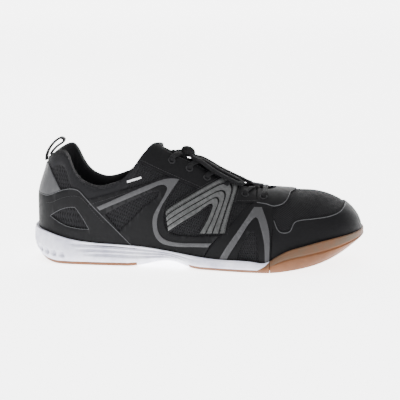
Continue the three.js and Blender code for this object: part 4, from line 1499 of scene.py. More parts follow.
@dataclass
class Upper:
    """The mesh base, its overlays and its trim."""

    heel_edge: tuple[Point2, ...] = (
        (4, 63.5), (8, 63), (17, 62.5), (29, 67.5), (38, 69.5), (45, 68), (51, 62), (60, 52), (80, 32),
        (101, 11)
    )
    heel_window: tuple[tuple[Point2, ...], ...] = (
        ((19, 44), (27, 49.5), (35, 52.5), (42, 53)), ((42, 53), (49, 43), (54.5, 33)),
        ((54.5, 33), (44, 33.5), (32, 36.5), (19, 44)),
    )
    tab_edge: tuple[tuple[Point2, ...], ...] = (
        ((4, 64.3), (8, 63.8), (17, 63.3), (29, 68.2)), ((29, 68.2), (24, 77), (17, 89.5)),
        ((17, 89.5), (4, 89.5)),
    )
    saddle: tuple[tuple[Point2, ...], ...] = (
        ((55, 60), (82, 67.5), (110, 75), (121, 79.5), (136, 79)),
        ((136, 79), (131, 71), (124.5, 58), (122, 46), (124.5, 35), (132, 30), (146, 29), (162, 30),
            (172, 30.5)),
        ((172, 30.5), (164, 21), (157, 8)), ((157, 8), (101, 12)),
        ((101, 12), (80, 32.8), (60, 52.8), (55, 58)), ((55, 58), (55, 60)),
    )
    saddle_window: tuple[tuple[Point2, ...], ...] = (
        ((69, 47), (84, 55), (100, 62.5), (112, 67), (118, 67.5)),
        ((118, 67.5), (116, 62), (105, 54), (93, 42), (82, 31)),
        ((82, 31), (69, 47)),
    )
    stripe: tuple[tuple[Point2, ...], ...] = (
        ((62, 53.5), (80, 61.5), (100, 70), (118, 76.5), (128, 78), (135, 77)),
        ((135, 77), (129, 68.5), (121, 56), (117, 46), (116.5, 37), (119, 29.5), (126, 24.5), (138, 23),
            (153, 23.5), (166, 24)),
        ((166, 24), (163, 20.5)),
        ((163, 20.5), (151, 20), (136, 19.5), (122, 21.5), (115, 28), (112.5, 37), (113, 46), (118, 56),
            (123, 65), (124.5, 70.5),
         (119, 73), (105, 67.5), (82, 58), (64.5, 50.5)),
        ((64.5, 50.5), (62, 53.5)),
    )
    rib_outer: tuple[tuple[Point2, ...], ...] = (
        ((124, 50), (128, 54), (150, 66.5), (165, 73.5), (176, 77), (184, 76.5)),
        ((184, 76.5), (187.5, 72), (186, 64), (183.5, 55), (180.5, 43), (178.5, 33)),
    )
    rib_inner: tuple[tuple[Point2, ...], ...] = (
        ((127, 32.6), (138, 40), (152, 48.5), (160, 54.5), (164, 57)),
        ((164, 57), (166, 55), (161, 42), (155, 32)),
    )
    forefoot: tuple[tuple[Point2, ...], ...] = (
        ((157.5, 7.5), (167, 22.5), (179, 35.5), (188, 45), (197, 53.5), (203, 57.4)),
        ((203, 57.4), (211, 56.8), (219, 55.6)),
        ((219, 55.6), (220.5, 44), (219, 30), (218.5, 9)), ((218.5, 9), (157.5, 7.5)),
    )
    forefoot_window: tuple[Point2, ...] = (
        (188, 9), (192, 22), (197.5, 31.5), (202, 35), (205.5, 32.5), (207.5, 22), (208.5, 9)
    )
    chevron: tuple[tuple[Point2, ...], ...] = (
        ((172, 8.5), (180, 22), (191, 37.5), (198.5, 48), (203, 54)), ((203, 54), (210, 54)),
        ((210, 54), (215, 43), (217.5, 31), (217.6, 8.5)), ((217.6, 8.5), (213.8, 8.5)),
        ((213.8, 8.5), (213, 25), (210, 37), (205.5, 46.5), (199, 41.5), (191, 29), (184, 18), (178.5, 8.5)),
        ((178.5, 8.5), (172, 8.5)),
    )
    stay_edge: tuple[Point2, ...] = (
        (97.2, 93.4), (105, 90), (122, 82), (148, 71.5), (166, 64), (184, 58.3), (205.2, 57.5)
    )
    tip_edge: tuple[Point2, ...] = (
        (205.3, 57.5), (213, 56.8), (221, 55.3), (229, 57.5), (233, 61.5), (235.5, 66.5)
    )
    toe_edge: tuple[Point2, ...] = (
        (221, 44.5), (224, 38), (228, 35), (235, 36), (239, 43), (245, 45), (256, 46), (268, 47), (277, 49),
        (282, 52), (285.2, 56),
    )
    sewing: Stitching = field(default_factory=Stitching)

    def build(self) -> None:
        """Cuts and lays every layer from the base outwards."""
        self._base()
        self._heel()
        for side in Side:
            self._saddle(side)
            self._ribs(side)
            self._forefoot(side)
            self._eyestay(side)
        self._throat_tip()
        self._toe()
        self._mark()

    @staticmethod
    def _base() -> None:
        """The one-piece mesh base, from the heel seam to the toe."""
        lateral, medial = Side.LATERAL, Side.MEDIAL
        outline = [
            *floor_line(LAST.s_heel, LAST.s_toe, lateral), *floor_line(LAST.s_toe, LAST.s_heel, medial),
            *topline_places(medial),
            *throat_line(117.0, medial),
            *throat_line(117.0, lateral)[::-1],
            *topline_places(lateral)[::-1],
        ]
        stands_for = ("quarter_lateral", "quarter_medial", "vamp_mesh")
        cut = Pattern(tidy_loop(outline), 3.0)
        panel("mesh_base", [cut], 0.0, OPEN_MESH, MESH_T, Motion.BENDS, *stands_for, bevel=0.4)

    def _heel(self) -> None:
        """The heel overlay with its window, and the tab above it."""
        edge = run(*self.heel_edge)
        low = [(x, 5.0) for x in range(100, 2, -3)]
        window = loop(*(run(*r) for r in self.heel_window))
        cut = both(loop(edge, low))
        panel("heel_wrap", cut, OVERLAY_OUT, SYNTHETIC, 1.0, Motion.REAR, "heel_overlay", holes=both(window))
        edges = [Pattern.on_plane(edge, side) for side in Side]
        edge_strip("heel_wrap_edge", edges, 1.1, Motion.REAR)
        windows = [Pattern.on_plane(window, side) for side in Side]
        edge_strip("heel_window_edge", windows, 1.15, Motion.REAR, (0.5, 0.7), closed=True)
        tab = loop(*(run(*r) for r in self.tab_edge))
        panel("heel_tab_panel", both(tab), 1.15, GREY_TRIM, 1.0, Motion.REAR, "heel_tab")
        seams = [[(s + 2.4, v) for s, v in line[6:-30]] for line in edges]
        rows = [[(s, v + side.value * 2.4) for s, v in line] for side, line in zip(Side, seams, strict=True)]
        self.sewing.row_along("heel_seam", rows, 1.3, Motion.REAR)

    def _saddle(self, side: Side) -> None:
        """The midfoot saddle with its window, and the grey stripe that frames it.

        Args:
            side: The side of the shoe.
        """
        name = side.label
        outline, window, stripe = (
            Pattern.seen(loop(*(run(*r) for r in runs)), side) for runs in (self.saddle, self.saddle_window,
                self.stripe)
        )
        panel(
            f"saddle_panel_{name}", [outline], OVERLAY_OUT, SYNTHETIC, 1.0, Motion.REAR, f"saddle_{name}",
            holes=[window]
        )
        panel(
            f"saddle_band_{name}", [stripe], TRIM_OUT + 0.2, GREY_TRIM, 0.9, Motion.REAR,
            f"saddle_stripe_{name}"
        )
        line = Pattern.on_plane(run(*self.saddle[0][:-1]), side)
        self.sewing.row_along(
            f"saddle_seam_{name}", [[(s, v + side.value * 1.8) for s, v in line]], 1.3, Motion.REAR
        )

    def _ribs(self, side: Side) -> None:
        """The dark panel with four nested silver ribs, and the stitches round it.

        Args:
            side: The side of the shoe.
        """
        name = side.label
        arms = []
        for out, inn in zip(self.rib_outer, self.rib_inner, strict=True):
            a, b = np.array(run(*out)), np.array(run(*inn))
            even = []
            for line in (a, b):
                d = np.concatenate([[0], np.cumsum(np.linalg.norm(np.diff(line, axis=0), axis=1))])
                at = np.linspace(0, d[-1], 26)
                even.append(np.stack([np.interp(at, d, line[:, k]) for k in (0, 1)], axis=1))
            arms.append(even)
        outer_line = np.vstack([arms[0][0], arms[1][0][1:]])
        inner_line = np.vstack([arms[0][1], arms[1][1][1:]])

        def between(share: float) -> list[Point2]:
            """The line at a share of the way from the outer to the inner edge, its corner eased.

            Args:
                share: 0 for the outer edge and 1 for the inner edge.

            Returns:
                Points as (x, z).
            """
            line = outer_line * (1 - share) + inner_line * share
            for _ in range(2):
                line[18:33] = (line[17:32] + 2 * line[18:33] + line[19:34]) / 4
            return [tuple(p) for p in line]

        backing = Pattern.seen([*between(-0.03), *between(1.03)[::-1]], side)
        panel(f"rib_backing_{name}", [backing], 1.9, SYNTHETIC, 0.8, Motion.BENDS)
        bands = []
        for k in range(4):
            low, high = k / 4 + 0.03, (k + 1) / 4 - 0.03
            bands.append(Pattern.seen([*between(low), *between(high)[::-1]], side, 2.2))
        panel(f"silver_ribs_{name}", bands, 2.75, SILVER, 0.9, Motion.BENDS, f"rib_panel_{name}", bevel=0.4)
        rows = [Pattern.on_plane(between(share), side) for share in (-0.075, 1.06)]
        self.sewing.row_along(f"rib_stitches_{name}", rows, 1.4, Motion.BENDS)
        on_rib = [Pattern.on_plane(between(share), side) for share in (0.055, 0.205)]
        self.sewing.row_along(f"rib_seam_{name}", on_rib, 2.85, Motion.BENDS, DARK_THREAD)

    def _forefoot(self, side: Side) -> None:
        """The overlay beside the ball of the foot and its grey chevron.

        Args:
            side: The side of the shoe.
        """
        name = side.label
        outline = Pattern.seen(loop(*(run(*r) for r in self.forefoot)), side)
        window = Pattern.seen(loop(run(*self.forefoot_window), [(208.5, 9), (188, 9)]), side)
        node = f"forefoot_overlay_{name}"
        panel(
            f"forefoot_panel_{name}", [outline], OVERLAY_OUT, SYNTHETIC, 1.0, Motion.BENDS, node, holes=[window]
        )
        chevron = Pattern.seen(loop(*(run(*r) for r in self.chevron)), side)
        panel(
            f"chevron_band_{name}", [chevron], TRIM_OUT + 0.15, GREY_TRIM, 0.9, Motion.BENDS, f"chevron_{name}"
        )

    def _eyestay(self, side: Side) -> None:
        """One eyestay with its stitches and the rings of its eyelets.

        Args:
            side: The side of the shoe.
        """
        name = side.label
        low = Pattern.on_plane(run(*self.stay_edge), side)
        top = [p for p in topline_places(side) if p[0] > 98.5]
        throat = [p for p in throat_line(117.0, side) if p[0] < 205.0]
        outline = tidy_loop([*low, *throat[::-1], *top[::-1]])
        panel(
            f"eyestay_panel_{name}", [Pattern(outline)], OVERLAY_OUT + 0.15, SYNTHETIC, 1.1, Motion.BENDS,
            f"eyestay_{name}"
        )
        rows = [
            [(s, v - side.value * 1.7) for s, v in low[2:]], [(s, v + side.value * 1.7) for s, v in throat[2:]]
        ]
        self.sewing.row_along(f"eyestay_stitches_{name}", rows, 1.45, Motion.BENDS)
        rings = bmesh.new()
        for x in EYELET_X:
            centre = LAST.place(x, side.value * EYELET_T, 1.5)
            normal = LAST.normals(np.array([x]), np.array([side.value * EYELET_T]))[0]
            a = np.cross(normal, [1, 0, 0])
            a /= np.linalg.norm(a)
            b = np.cross(normal, a)
            angle = np.linspace(0, 2 * math.pi, 17)[:-1]
            ring = centre + 2.9 * (np.cos(angle)[:, None] * a + np.sin(angle)[:, None] * b)
            absorb(rings, sweep(ring, np.repeat(normal[None], 16, axis=0), oval(1.1, 0.8, 6, 2.0), closed=True))
        make(rings, f"eyelet_rings_{name}", THREAD, Motion.BENDS)

    def _throat_tip(self) -> None:
        """The horseshoe piece round the front of the throat."""
        lateral, medial = Side.LATERAL, Side.MEDIAL
        edges = {side: Pattern.on_plane(run(*self.tip_edge), side) for side in Side}
        for side in Side:
            edges[side][-1] = (236.0, 0.0)
        throat = {side: [p for p in throat_line(117.0, side) if p[0] > 205.0] for side in Side}
        outline = tidy_loop([*edges[lateral], *edges[medial][::-1], *throat[medial], *throat[lateral][::-1]])
        panel(
            "throat_horseshoe", [Pattern(outline, 2.4)], OVERLAY_OUT + 0.15, SYNTHETIC, 1.1, Motion.BENDS,
            "throat_tip"
        )
        strip = [*edges[lateral], *edges[medial][::-1][1:]]
        edge_strip("throat_edge", [strip], 1.3, Motion.BENDS)

    def _toe(self) -> None:
        """The toe overlay with its light upper edge."""
        lateral, medial = Side.LATERAL, Side.MEDIAL
        edges, outlines = {}, []
        for side in Side:
            edge = [p for p in Pattern.on_plane(run(*self.toe_edge), side)]
            edge[-1] = (edge[-1][0], 0.0)
            rear = Pattern.on_plane(run((219.2, 9), (219.8, 30), (221, 44.5)), side)
            edges[side] = edge
            ridge = [(s, 0.0) for s in np.arange(edge[-1][0] + 1.5, LAST.s_toe, 2.6)]
            outlines.append(
                tidy_loop([*rear, *edge, *ridge, (LAST.s_toe, 0.0), *floor_line(LAST.s_toe, 220.0, side)])
            )
        cut = [Pattern(outline) for outline in outlines]
        panel("toe_guard", cut, OVERLAY_OUT, SYNTHETIC, 1.0, Motion.BENDS, "toe_overlay")
        edge_strip(
            "toe_guard_edge", [[*edges[lateral], *edges[medial][::-1][1:]]], 1.15, Motion.BENDS, (0.8, 0.8)
        )

    @staticmethod
    def _mark() -> None:
        """A plain slanted bar where such shoes carry a printed mark."""
        bar = [*run((89, 75), (101.5, 78.6), step=2), *run((101, 80.4), (88.5, 76.8), step=2)]
        panel(
            "side_mark", [Pattern.seen(bar, Side.LATERAL)], 0.7, MARK, 0.6, Motion.REAR, "side_label", bevel=0.1
        )


@dataclass
class Collar:
    """The padded collar rolled over the topline, with the lining below it."""

    seam_depth: float = 15.0
    steps: int = 26

    @staticmethod
    def depth(x: Array, z: Array) -> Array:
        """How far the lining's face lies inside the last."""
        low = 1.9 + 2.5 * (1 - smooth(72, 86, x)) + 1.2 * smooth(228, 240, x) + 0.3
        return np.maximum(low, 2.1 + 6.2 * smooth(52, 66, z) * (1 - smooth(70, 90, x)))

    def build(self) -> None:
        """Makes the collar with the rear lining, and the lining of the vamp."""
        self._roll()
        self._vamp_lining()

    def _roll(self) -> None:
        """One padded sheet from outside the topline, over it and down to the footbed."""
        path = [(side.value * (p - LAST.s_heel), abs(v)) for side in Side for p, v in topline_places(side)]
        path = sorted(set(path))
        line = spaced(np.array([
            (*LAST.place(LAST.s_heel + abs(p), math.copysign(v, p) / RIDGE_SPREAD), p, v) for p, v in path
        ]), 2.2)
        s_of = LAST.s_heel + np.abs(line[:, 3])
        v_of = np.where(line[:, 3] < 0, -1, 1) * line[:, 4]
        n = len(line)
        down = np.concatenate(
            [np.array([7.0, 4.5, 2.6]), np.zeros(8), np.array([4.5, 7, 10, 12.6, 14.2, 15, 15.8, 17.5, 20]),
                np.zeros(7)]
        )

        def place(u: Array, v: Array) -> Array:
            """A point of the sheet: u down the section, v along the topline.

            Args:
                u: Shares of the way round or across, from 0 to 1.
                v: Shares of the way along, from 0 to 1.

            Returns:
                Points in millimetres.
            """
            k = np.rint(u * (len(down) - 1)).astype(int)
            i = np.rint(v * (n - 1)).astype(int)
            s, top = s_of[i], v_of[i]
            sign = np.sign(top)
            room = RIDGE_SPREAD * 0.985 - np.abs(top)
            pad = self.depth(LAST.x_of(s), LAST.bare(s, top / RIDGE_SPREAD)[..., 2])
            half = (pad + 1.1) / 2
            angle = np.clip((k - 3) / 7, 0, 1) * math.pi
            w = np.where(
                k < 3, down[k], np.where(k < 11, 2.2 - np.minimum(half, 3.0) * np.sin(angle) * 0.9, down[k])
            )
            low = np.clip((k - 19) / (len(down) - 20), 0, 1)
            w = np.where(k > 19, 20 + (room - 20) * low, w)
            w = np.minimum(w, room)
            t = sign * (np.abs(top) + w) / RIDGE_SPREAD
            bare = LAST.bare(s, t)
            inner = -self.depth(LAST.x_of(s), bare[..., 2])
            puff = np.exp(-(((w - 8.0) / 6.0) ** 2)) * 0.9 - np.exp(-(((w - self.seam_depth) / 1.1) ** 2)) * 1.0
            crease = 0.3 * np.sin(s * 0.31 + w * 0.5) * np.exp(
                -(((w - 7) / 7) ** 2)
            ) + 0.18 * np.sin(s * 0.83 + 1.3)
            inner = inner - (puff + crease) * np.clip(pad / 8, 0.15, 1)
            roll = -half + 0.45 + half * np.cos(angle)
            off = np.where(k < 3, 0.25 + 0.2 * (k == 1) + 0.2 * (k == 2), np.where(k < 11, roll, inner))
            return LAST.place(s, t, off)

        length = float(np.linalg.norm(np.diff(line[:, :3], axis=0), axis=1).sum())
        bm = weld(grid(len(down) - 1, n - 1, place, (70.0, length)))
        if sum(f.normal.z for f in bm.faces if f.calc_center_median().z > 0.09) < 0:
            bmesh.ops.reverse_faces(bm, faces=bm.faces)
        piece = new_piece(bm, "collar_padding", FABRIC.material())
        finish_edges(piece, 0.8, 0)
        settle(piece, Motion.REAR, "lining", "collar_foam", "quarter_lining")

    def _vamp_lining(self) -> None:
        """The lining of the front of the shoe, under the mesh."""
        lateral, medial = Side.LATERAL, Side.MEDIAL
        outline = [
            *floor_line(119.0, LAST.s_toe, lateral), *floor_line(LAST.s_toe, 119.0, medial),
            *throat_line(119.0, medial, 10.0), *throat_line(119.0, lateral, 10.0)[::-1],
        ]

        def off(s: Array, t: Array) -> Array:
            """The lining's distance from the last."""
            return -self.depth(LAST.x_of(s), LAST.bare(s, t)[..., 2]) - 0.1

        piece = lay(
            "vamp_lining_sheet", [Pattern(tidy_loop(outline), 4.0)], off, FABRIC.material(), 0.9, bevel=0
        )
        settle(piece, Motion.BENDS, "lining", "vamp_lining")


@dataclass
class Tongue:
    """The padded tongue, quilted across."""

    start: float = 108.0
    end: float = 213.0
    channel: float = 17.0
    between_laces: tuple[float, ...] = (128.0, 144.3, 160.6, 177.6, 195.0)
    edge: Curve = Curve(((95, 0.3), (112, 0.38), (150, 0.44), (213, 0.4)))

    def build(self) -> None:
        """Makes the tongue as one closed pad."""
        across = 22
        shares = np.concatenate([np.linspace(-1, 1, across), np.linspace(1, -1, across)[1:]])
        layers = np.concatenate([np.zeros(across), np.ones(across - 1)])
        layers[-1] = 0

        def place(u: Array, v: Array) -> Array:
            """A point of the pad: u round the section, v from the top end to the toe.

            Args:
                u: Shares of the way round or across, from 0 to 1.
                v: Shares of the way along, from 0 to 1.

            Returns:
                Points in millimetres.
            """
            k = np.rint(u * (len(shares) - 1)).astype(int)
            x = self.start + (self.end - self.start) * v
            share, layer = shares[k], layers[k]
            tip = np.sqrt(np.clip(1 - np.clip((self.start + 9 - x) / 9.6, 0, 1) ** 2, 0, 1))
            crown = 1 - share**2
            thick = (2.2 + 5 * crown) * np.where(x < 104, 0.55 + 0.45 * tip, 1.0)
            groove = 0.9 * np.exp(-((((x - 100) % self.channel) - self.channel / 2) / 1.1) ** 2) * crown
            puff = 0.5 * np.cos(
                ((x - 100) % self.channel - self.channel / 2) / self.channel * 2 * math.pi + math.pi
            ) * crown
            top = -2.2 - 7.6 * smooth(0.05, 0.6, np.abs(share)) + puff * 0.6 - groove
            top = top - 6.0 * (1 - smooth(106, 124, x)) - 5.0 * smooth(178, 212, x)
            swell = sum(np.exp(-(((x - at) / 4.2) ** 2)) for at in self.between_laces)
            top = top + 2.8 * swell * (1 - smooth(0.12, 0.27, np.abs(share)))
            rounded = 1.1 * np.abs(share) ** 6
            off = np.where(layer > 0, top - thick + rounded, top - rounded * 0.6)
            return LAST.place(x, share * self.edge(x) * (0.62 + 0.38 * tip), off)

        bm = weld(grid(len(shares) - 1, 60, place, (110.0, self.end - self.start)), fill=True)
        piece = new_piece(bm, "tongue_pad", FABRIC.material())
        settle(piece, Motion.TONGUE, "mesh", "tongue")


# The sole and what is inside


def plan(s: Array, side: Array) -> tuple[Array, Array]:
    """The footprint of the last's floor line, and its outward directions.

    Args:
        s: Places along the shoe.
        side: -1 for lateral and 1 for medial, for each.

    Returns:
        Points and unit normals, both as (x, y).
    """

    def at(q: Array) -> Array:
        """Points of the footprint.

        Args:
            q: Places along the shoe.

        Returns:
            Points as (x, y).
        """
        x = LAST.x_of(q)
        half = np.where(side < 0, -LAST.lateral(x), LAST.medial(x)) * LAST.plan_end(x)
        return np.stack([x, LAST.middle(x) + half], axis=-1)

    s = np.asarray(s, float)
    high = 225 + 64 * math.pi / 2
    d = at(np.minimum(s + 0.3, high)) - at(np.maximum(s - 0.3, LAST.s_heel))
    d /= np.maximum(np.linalg.norm(d, axis=-1, keepdims=True), 1e-9)
    n = np.stack([d[..., 1] * -side, d[..., 0] * side], axis=-1)
    return at(s), n


@dataclass
class Sole:
    """The foam midsole, the gum rubber under it and the gum toe unit."""

    under_line: Curve = Curve(
        (
            (-1, 8), (4, 5), (12, 2), (24, 0), (40, 0), (90, 0), (108, 3), (122, 6.2), (134, 5.6), (148, 1),
            (157, 0),
            (190, 0), (215, 0), (236, 2.3), (265, 8.2), (283, 15), (301, 23),
        )
    )
    rim_line: Curve = Curve(
        (
            (-1, 32), (7, 31), (16, 29.5), (33, 25), (52, 21.6), (73, 20.2), (96, 19), (124, 16), (155, 12),
            (178, 10.8),
            (205, 10), (215, 10), (221, 13.5), (231, 19.5), (245, 24), (265, 28.5), (299, 32.5),
        )
    )
    rim: Curve = Curve(((4, 4.2), (40, 3.6), (150, 3.6), (240, 3.6), (299, 2.6)))
    bulge: Curve = Curve(((4, 5.0), (40, 4.6), (150, 4.6), (240, 4.6), (299, 2.6)))
    ground: Curve = Curve(((4, -3.0), (40, 0.0), (150, 0.0), (240, 0.0), (299, -7.0)))
    rubber: float = 3.2
    split: float = 218.0
    heel_end: float = 98.0

    def under(self, x: Array) -> Array:
        """The height of the underside."""
        return np.maximum(self.under_line(x), 0)

    def rubber_top(self, x: Array) -> Array:
        """Where the foam starts above the rubber, as a share of the wall's height.

        Args:
            x: Distances from the back of the heel.

        Returns:
            A share from 0 to 1 for each.
        """
        tall = np.maximum(self.rim_line(x) - self.under(x), 1)
        rise = np.clip((x - 207.5) / 10.2, 0, 1)
        return np.minimum((self.rubber + 0.1) / tall, 0.9) * (1 - rise) + rise

    def wall(self, s: Array, side: Array, h: Array, relief: Array | float = 0.0) -> Array:
        """Points of the outer wall.

        Args:
            s: Places along the shoe.
            side: -1 lateral, 1 medial.
            h: Share of the wall's height.
            relief: How much further out, in millimetres.

        Returns:
            Points in millimetres.
        """
        at, n = plan(s, side)
        x = at[..., 0]
        g, b, r = self.ground(x), self.bulge(x), self.rim(x)
        low = g + (b - g) * np.sin(np.clip(h / 0.5, 0, 1) * math.pi / 2) ** 0.9
        high = b + (r - b) * np.clip((h - 0.5) / 0.5, 0, 1) ** 2 - 0.5 * np.clip((h - 0.94) / 0.06, 0, 1) ** 2
        flare = np.where(h < 0.5, low, high) + relief
        xy = at + n * flare[..., None]
        z = self.under(xy[..., 0]) + (self.rim_line(xy[..., 0]) - self.under(xy[..., 0])) * h
        return np.concatenate([xy, z[..., None]], axis=-1)

    def unit(
        self, name: str, start: float, end: float, low: Callable[[Array], Array],
        high: Callable[[Array], Array],
        finish: Finish, motion: Motion, nodes: Sequence[str], relief: Callable[[Array, Array, Array], Array],
        levels: int = 12, step: float = 1.4, tread: bool = False, lip: bool = True,
    ) -> None:
        """Lofts one unit of the sole from closed slices.

        Args:
            name: The piece's name.
            start: Its rear end along the shoe.
            end: Its front end.
            low: The share of the wall's height at its foot, at x.
            high: The same at its top.
            finish: Its finish.
            motion: How it follows the joints.
            nodes: The solids that it stands for.
            relief: Relief of the wall at (s, x, h) in millimetres.
            levels: Steps up the wall.
            step: Length of the slices' spacing.
            tread: Whether the underside has grooves.
            lip: Whether the top turns in to meet the upper.
        """
        across = 44
        up = np.linspace(0, 1, levels + 1)
        turned = 3 if lip else 1
        count = 2 * (levels + 1) + across - 1 + 2 * turned + 1
        rows = max(2, int((end - start) / step))

        def place(u: Array, v: Array) -> Array:
            """A point of the unit: u round the slice, v along the shoe.

            Args:
                u: Shares of the way round or across, from 0 to 1.
                v: Shares of the way along, from 0 to 1.

            Returns:
                Points in millimetres.
            """
            k = np.rint(u * (count - 1)).astype(int) % (count - 1)
            s = start + (end - start) * v
            x = LAST.x_of(s)
            lateral_first = turned
            lateral_wall = lateral_first + levels + 1
            bottom = lateral_wall + across - 1
            medial_wall = bottom + levels + 1
            side = np.where(k < lateral_wall, -1, 1)
            f = low(x)
            t = high(x)
            rise = np.where(
                k < lateral_wall, 1 - np.clip(k - lateral_first, 0, levels) / levels,
                np.clip(k - bottom, 0, levels) / levels
            )
            h = f + (t - f) * rise
            points = self.wall(s, side, h, relief(s, x, h))
            a = self.wall(s, np.full_like(side, -1), f, relief(s, x, f))
            b = self.wall(s, np.full_like(side, 1), f, relief(s, x, f))
            c = np.clip((k - lateral_wall + 1) / across, 0, 1)[..., None]
            flat = a * (1 - c) + b * c
            if tread:
                zig = np.abs((flat[..., 1] + 60) % 11.0 - 5.5)
                bars = (flat[..., 0] + zig * 0.9) % 6.0
                rim_away = smooth(0.02, 0.07, c[..., 0]) * (1 - smooth(0.93, 0.98, c[..., 0]))
                flat[..., 2] += 1.1 * (np.clip(1.6 - np.abs(bars - 3.0), 0, 0.6) / 0.6) * rim_away
            is_flat = (k >= lateral_wall) & (k < bottom)
            points = np.where(is_flat[..., None], flat, points)
            inward = np.where(
                k < lateral_first, lateral_first - k, np.where(k >= medial_wall, k - medial_wall + 1, 0)
            )
            at, n = plan(s, side)
            edge_z = self.rim_line(at[..., 0]) if lip else self.wall(s, side, t)[..., 2]
            drops = np.array([0.0, 0.1, -0.5, -4.5]) if lip else np.array([0.0, 0.0])
            flares = np.array([0.0, -1.2, 0.2, -1.0]) if lip else np.array([0.0, -6.0])
            xy = at + n * (
                np.where(inward == 1, self.rim(x) - 1.2, flares[inward]) if lip else flares[inward]
            )[..., None]
            turned_in = np.concatenate([xy, (edge_z + drops[inward])[..., None]], axis=-1)
            return np.where((inward > 0)[..., None], turned_in, points)

        bm = weld(grid(count - 1, rows, place, (160.0, end - start)), 0.03, fill=True)
        piece = new_piece(bm, name, finish.material())
        shares = piece.data.attributes.new("share", "FLOAT", "POINT")
        co = np.array([v.co for v in piece.data.vertices]) / MM + ORIGIN
        tall = np.maximum(self.rim_line(co[:, 0]) - self.under(co[:, 0]), 1)
        shares.data.foreach_set("value", ((co[:, 2] - self.under(co[:, 0])) / tall).astype(np.float32))
        settle(piece, motion, finish.slot, *nodes)

    @staticmethod
    def foam_relief(s: Array, x: Array, h: Array) -> Array:
        """The long flutes of the midsole and the small windows at its heel.

        Args:
            s: Places along the shoe.
            x: Distances from the back of the heel.
            h: Shares of the wall's height.

        Returns:
            Millimetres outwards.
        """
        made = np.zeros_like(x + h)
        for k, level in enumerate((0.84, 0.66, 0.48)):
            centre = level + 0.05 * np.sin((x - 40) / 110 * math.pi) - 0.1 * smooth(60, 150, x)
            fade = smooth(34 + 6 * k, 50 + 8 * k, x) * (1 - smooth(128 - 6 * k, 156 - 8 * k, x))
            made = made - 2.9 * fade * np.exp(-(((h - centre) / 0.06) ** 2))
        for centre in np.arange(-14.0, 32.0, 7.6):
            d = ((s - centre - (h - 0.4) * 5) / 2.3) ** 2 + ((h - 0.38) / 0.11) ** 2
            made = made - 3.4 * (1 - smooth(0.5, 1.25, d))
        return made - 0.35 * np.exp(-(((h - 0.93) / 0.02) ** 2))

    @staticmethod
    def gum_relief(s: Array, x: Array, h: Array) -> Array:
        """The parting line of the toe unit and the step below it.

        Args:
            s: Places along the shoe.
            x: Distances from the back of the heel.
            h: Shares of the wall's height.

        Returns:
            Millimetres outwards.
        """
        line = 0.62 - 0.12 * smooth(230, 290, x)
        groove = 0.8 * np.exp(-(((h - line) / 0.028) ** 2))
        fine = 0.18 * np.exp(-(((h - 0.9) / 0.02) ** 2))
        return (0.35 * (1 - smooth(line - 0.02, line + 0.02, h)) - groove - fine) * smooth(219, 226, x)

    @staticmethod
    def no_relief(s: Array, x: Array, h: Array) -> Array:
        """A plain wall."""
        return np.zeros_like(x + h)

    def foam_foot(self, x: Array) -> Array:
        """The foam's foot: above the rubber, or the arch's own underside."""
        arch = smooth(self.heel_end - 0.5, self.heel_end + 1.5, x) * (1 - smooth(144.5, 146.5, x))
        return self.rubber_top(x) * (1 - arch)

    def heel_top(self, x: Array) -> Array:
        """The top of the heel rubber, just below the foam."""
        return self.rubber_top(x) * 0.97

    def ball_top(self, x: Array) -> Array:
        """The top of the ball rubber, just below the foam."""
        return self.rubber_top(x) * 0.98

    def build(self) -> None:
        """Makes the foam and the three rubber units."""
        zero, one, plain = np.zeros_like, np.ones_like, self.no_relief

        self.unit(
            "midsole_foam", LAST.s_heel, self.split - 0.2, self.foam_foot, one, FOAM, Motion.BENDS, ["midsole"],
                  self.foam_relief, levels=30, step=1.3)
        self.unit("heel_rubber", LAST.s_heel, self.heel_end, zero, self.heel_top, GUM, Motion.REAR,
                  ["outsole_heel"], plain, levels=5, tread=True, lip=False)
        self.unit("ball_rubber", 146.0, self.split - 0.2, zero, self.ball_top, GUM, Motion.BENDS,
                  ["outsole_ball"], plain, levels=7, tread=True, lip=False)
        self.unit("toe_rubber", self.split + 0.2, 225 + 64 * math.pi / 2, zero, one, GUM, Motion.BENDS,
                  ["outsole_toe", "midsole_toe"], self.gum_relief, levels=26, step=1.2, tread=True)


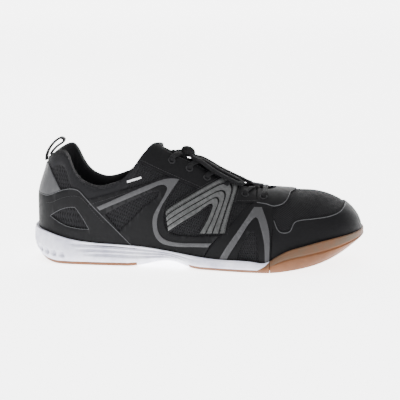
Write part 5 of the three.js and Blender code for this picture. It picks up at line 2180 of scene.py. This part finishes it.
@dataclass
class Sockliner:
    """The loose footbed, in a rear and a front part."""

    thickness: float = 4.5

    def build(self) -> None:
        """Makes both parts."""
        self._part("footbed_rear", LAST.s_heel + 6, 216.0, Motion.SOCKLINER, "sockliner_heel")
        self._part("footbed_front", 219.5, 306.0, Motion.FORE, "sockliner_toe")

    def _part(self, name: str, start: float, end: float, motion: Motion, node: str) -> None:
        """One part as a closed slab with a cupped rim.

        Args:
            name: The piece's name.
            start: Its rear end along the shoe.
            end: Its front end.
            motion: How it follows the joints.
            node: The solid that it stands for.
        """
        across = 24
        shares = np.concatenate([np.linspace(-1, 1, across), np.linspace(1, -1, across)])
        upper = np.concatenate([np.ones(across), np.zeros(across)])
        shares, upper = np.append(shares, -1.0), np.append(upper, 1.0)

        def place(u: Array, v: Array) -> Array:
            """A point of the slab: u round the slice, v along the shoe.

            Args:
                u: Shares of the way round or across, from 0 to 1.
                v: Shares of the way along, from 0 to 1.

            Returns:
                Points in millimetres.
            """
            k = np.rint(u * (len(shares) - 1)).astype(int)
            s = start + (end - start) * v
            x = LAST.x_of(s)
            side = np.where(shares[k] < 0, -1, 1)
            at, n = plan(s, side)
            inset = Collar.depth(x, LAST.floor(x) + 5) + 4.4 + 1.4 * (
                1 - smooth(LAST.s_heel, LAST.s_heel + 40, s)
            )
            edge = at - n * inset[..., None]
            middle = np.stack([edge[..., 0], LAST.middle(x)], axis=-1)
            share = np.abs(shares[k])[..., None]
            xy = middle * (1 - share) + edge * share
            z = LAST.floor(edge[..., 0]) + 2.5 + upper[k] * (self.thickness - 0.8 + 0.8 * share[..., 0] ** 4)
            return np.concatenate([xy, z[..., None]], axis=-1)

        bm = weld(grid(len(shares) - 1, int((end - start) / 3), place, (100.0, end - start)), fill=True)
        make(bm, name, INSOLE, motion, node)


@dataclass
class PullLoop:
    """The webbing loop at the top of the heel."""

    width: float = 8.0
    thickness: float = 2.0
    path: tuple[Point2, ...] = (
        (10.3, 90.8), (10.9, 96), (14, 102.5), (19.5, 108.6), (24.6, 111.4), (27.2, 110.2), (26, 107.2),
        (21, 103.8), (16.4, 99.2), (14.4, 96.2),
    )

    def build(self) -> None:
        """Bends the band to its drop shape."""
        flat = spaced(np.array(run(*self.path)), 1.2)
        centres = np.stack([flat[:, 0], np.zeros(len(flat)), flat[:, 1]], axis=1)
        tangents = np.gradient(centres, axis=0)
        normals = np.cross(tangents, [0.0, 1.0, 0.0])
        bm = sweep(centres, normals, oval(self.width, self.thickness, 14, 5.0))
        make(bm, "heel_webbing", WEBBING, Motion.LOOP, "pull_loop")


@dataclass
class HiddenParts:
    """The boards and stiffeners between the layers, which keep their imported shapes."""

    finishes: tuple[tuple[str, Finish], ...] = (
        ("board_rear", BOARD), ("board_toe", BOARD), ("heel_counter", STIFFENER), ("toe_puff", STIFFENER),
    )

    def build(self) -> None:
        """Gives each its finish."""
        for name, finish in self.finishes:
            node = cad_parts[name]
            node = node if isinstance(node, bpy.types.Object) else bpy.data.objects[name]
            node.data.materials.clear()
            node.data.materials.append(finish.material())
            log.info("%s: %s", name, finish.name)


def main() -> None:
    """Builds the shoe, camera and laces first."""
    logging.basicConfig(level=logging.INFO, format="%(name)s: %(message)s")
    for part in (
        Studio(), Laces(), Upper(), Collar(), Tongue(), Sole(), Sockliner(), PullLoop(), HiddenParts()
    ):
        log.info("building %s", type(part).__name__)
        part.build()


if __name__ == "__main__":
    main()
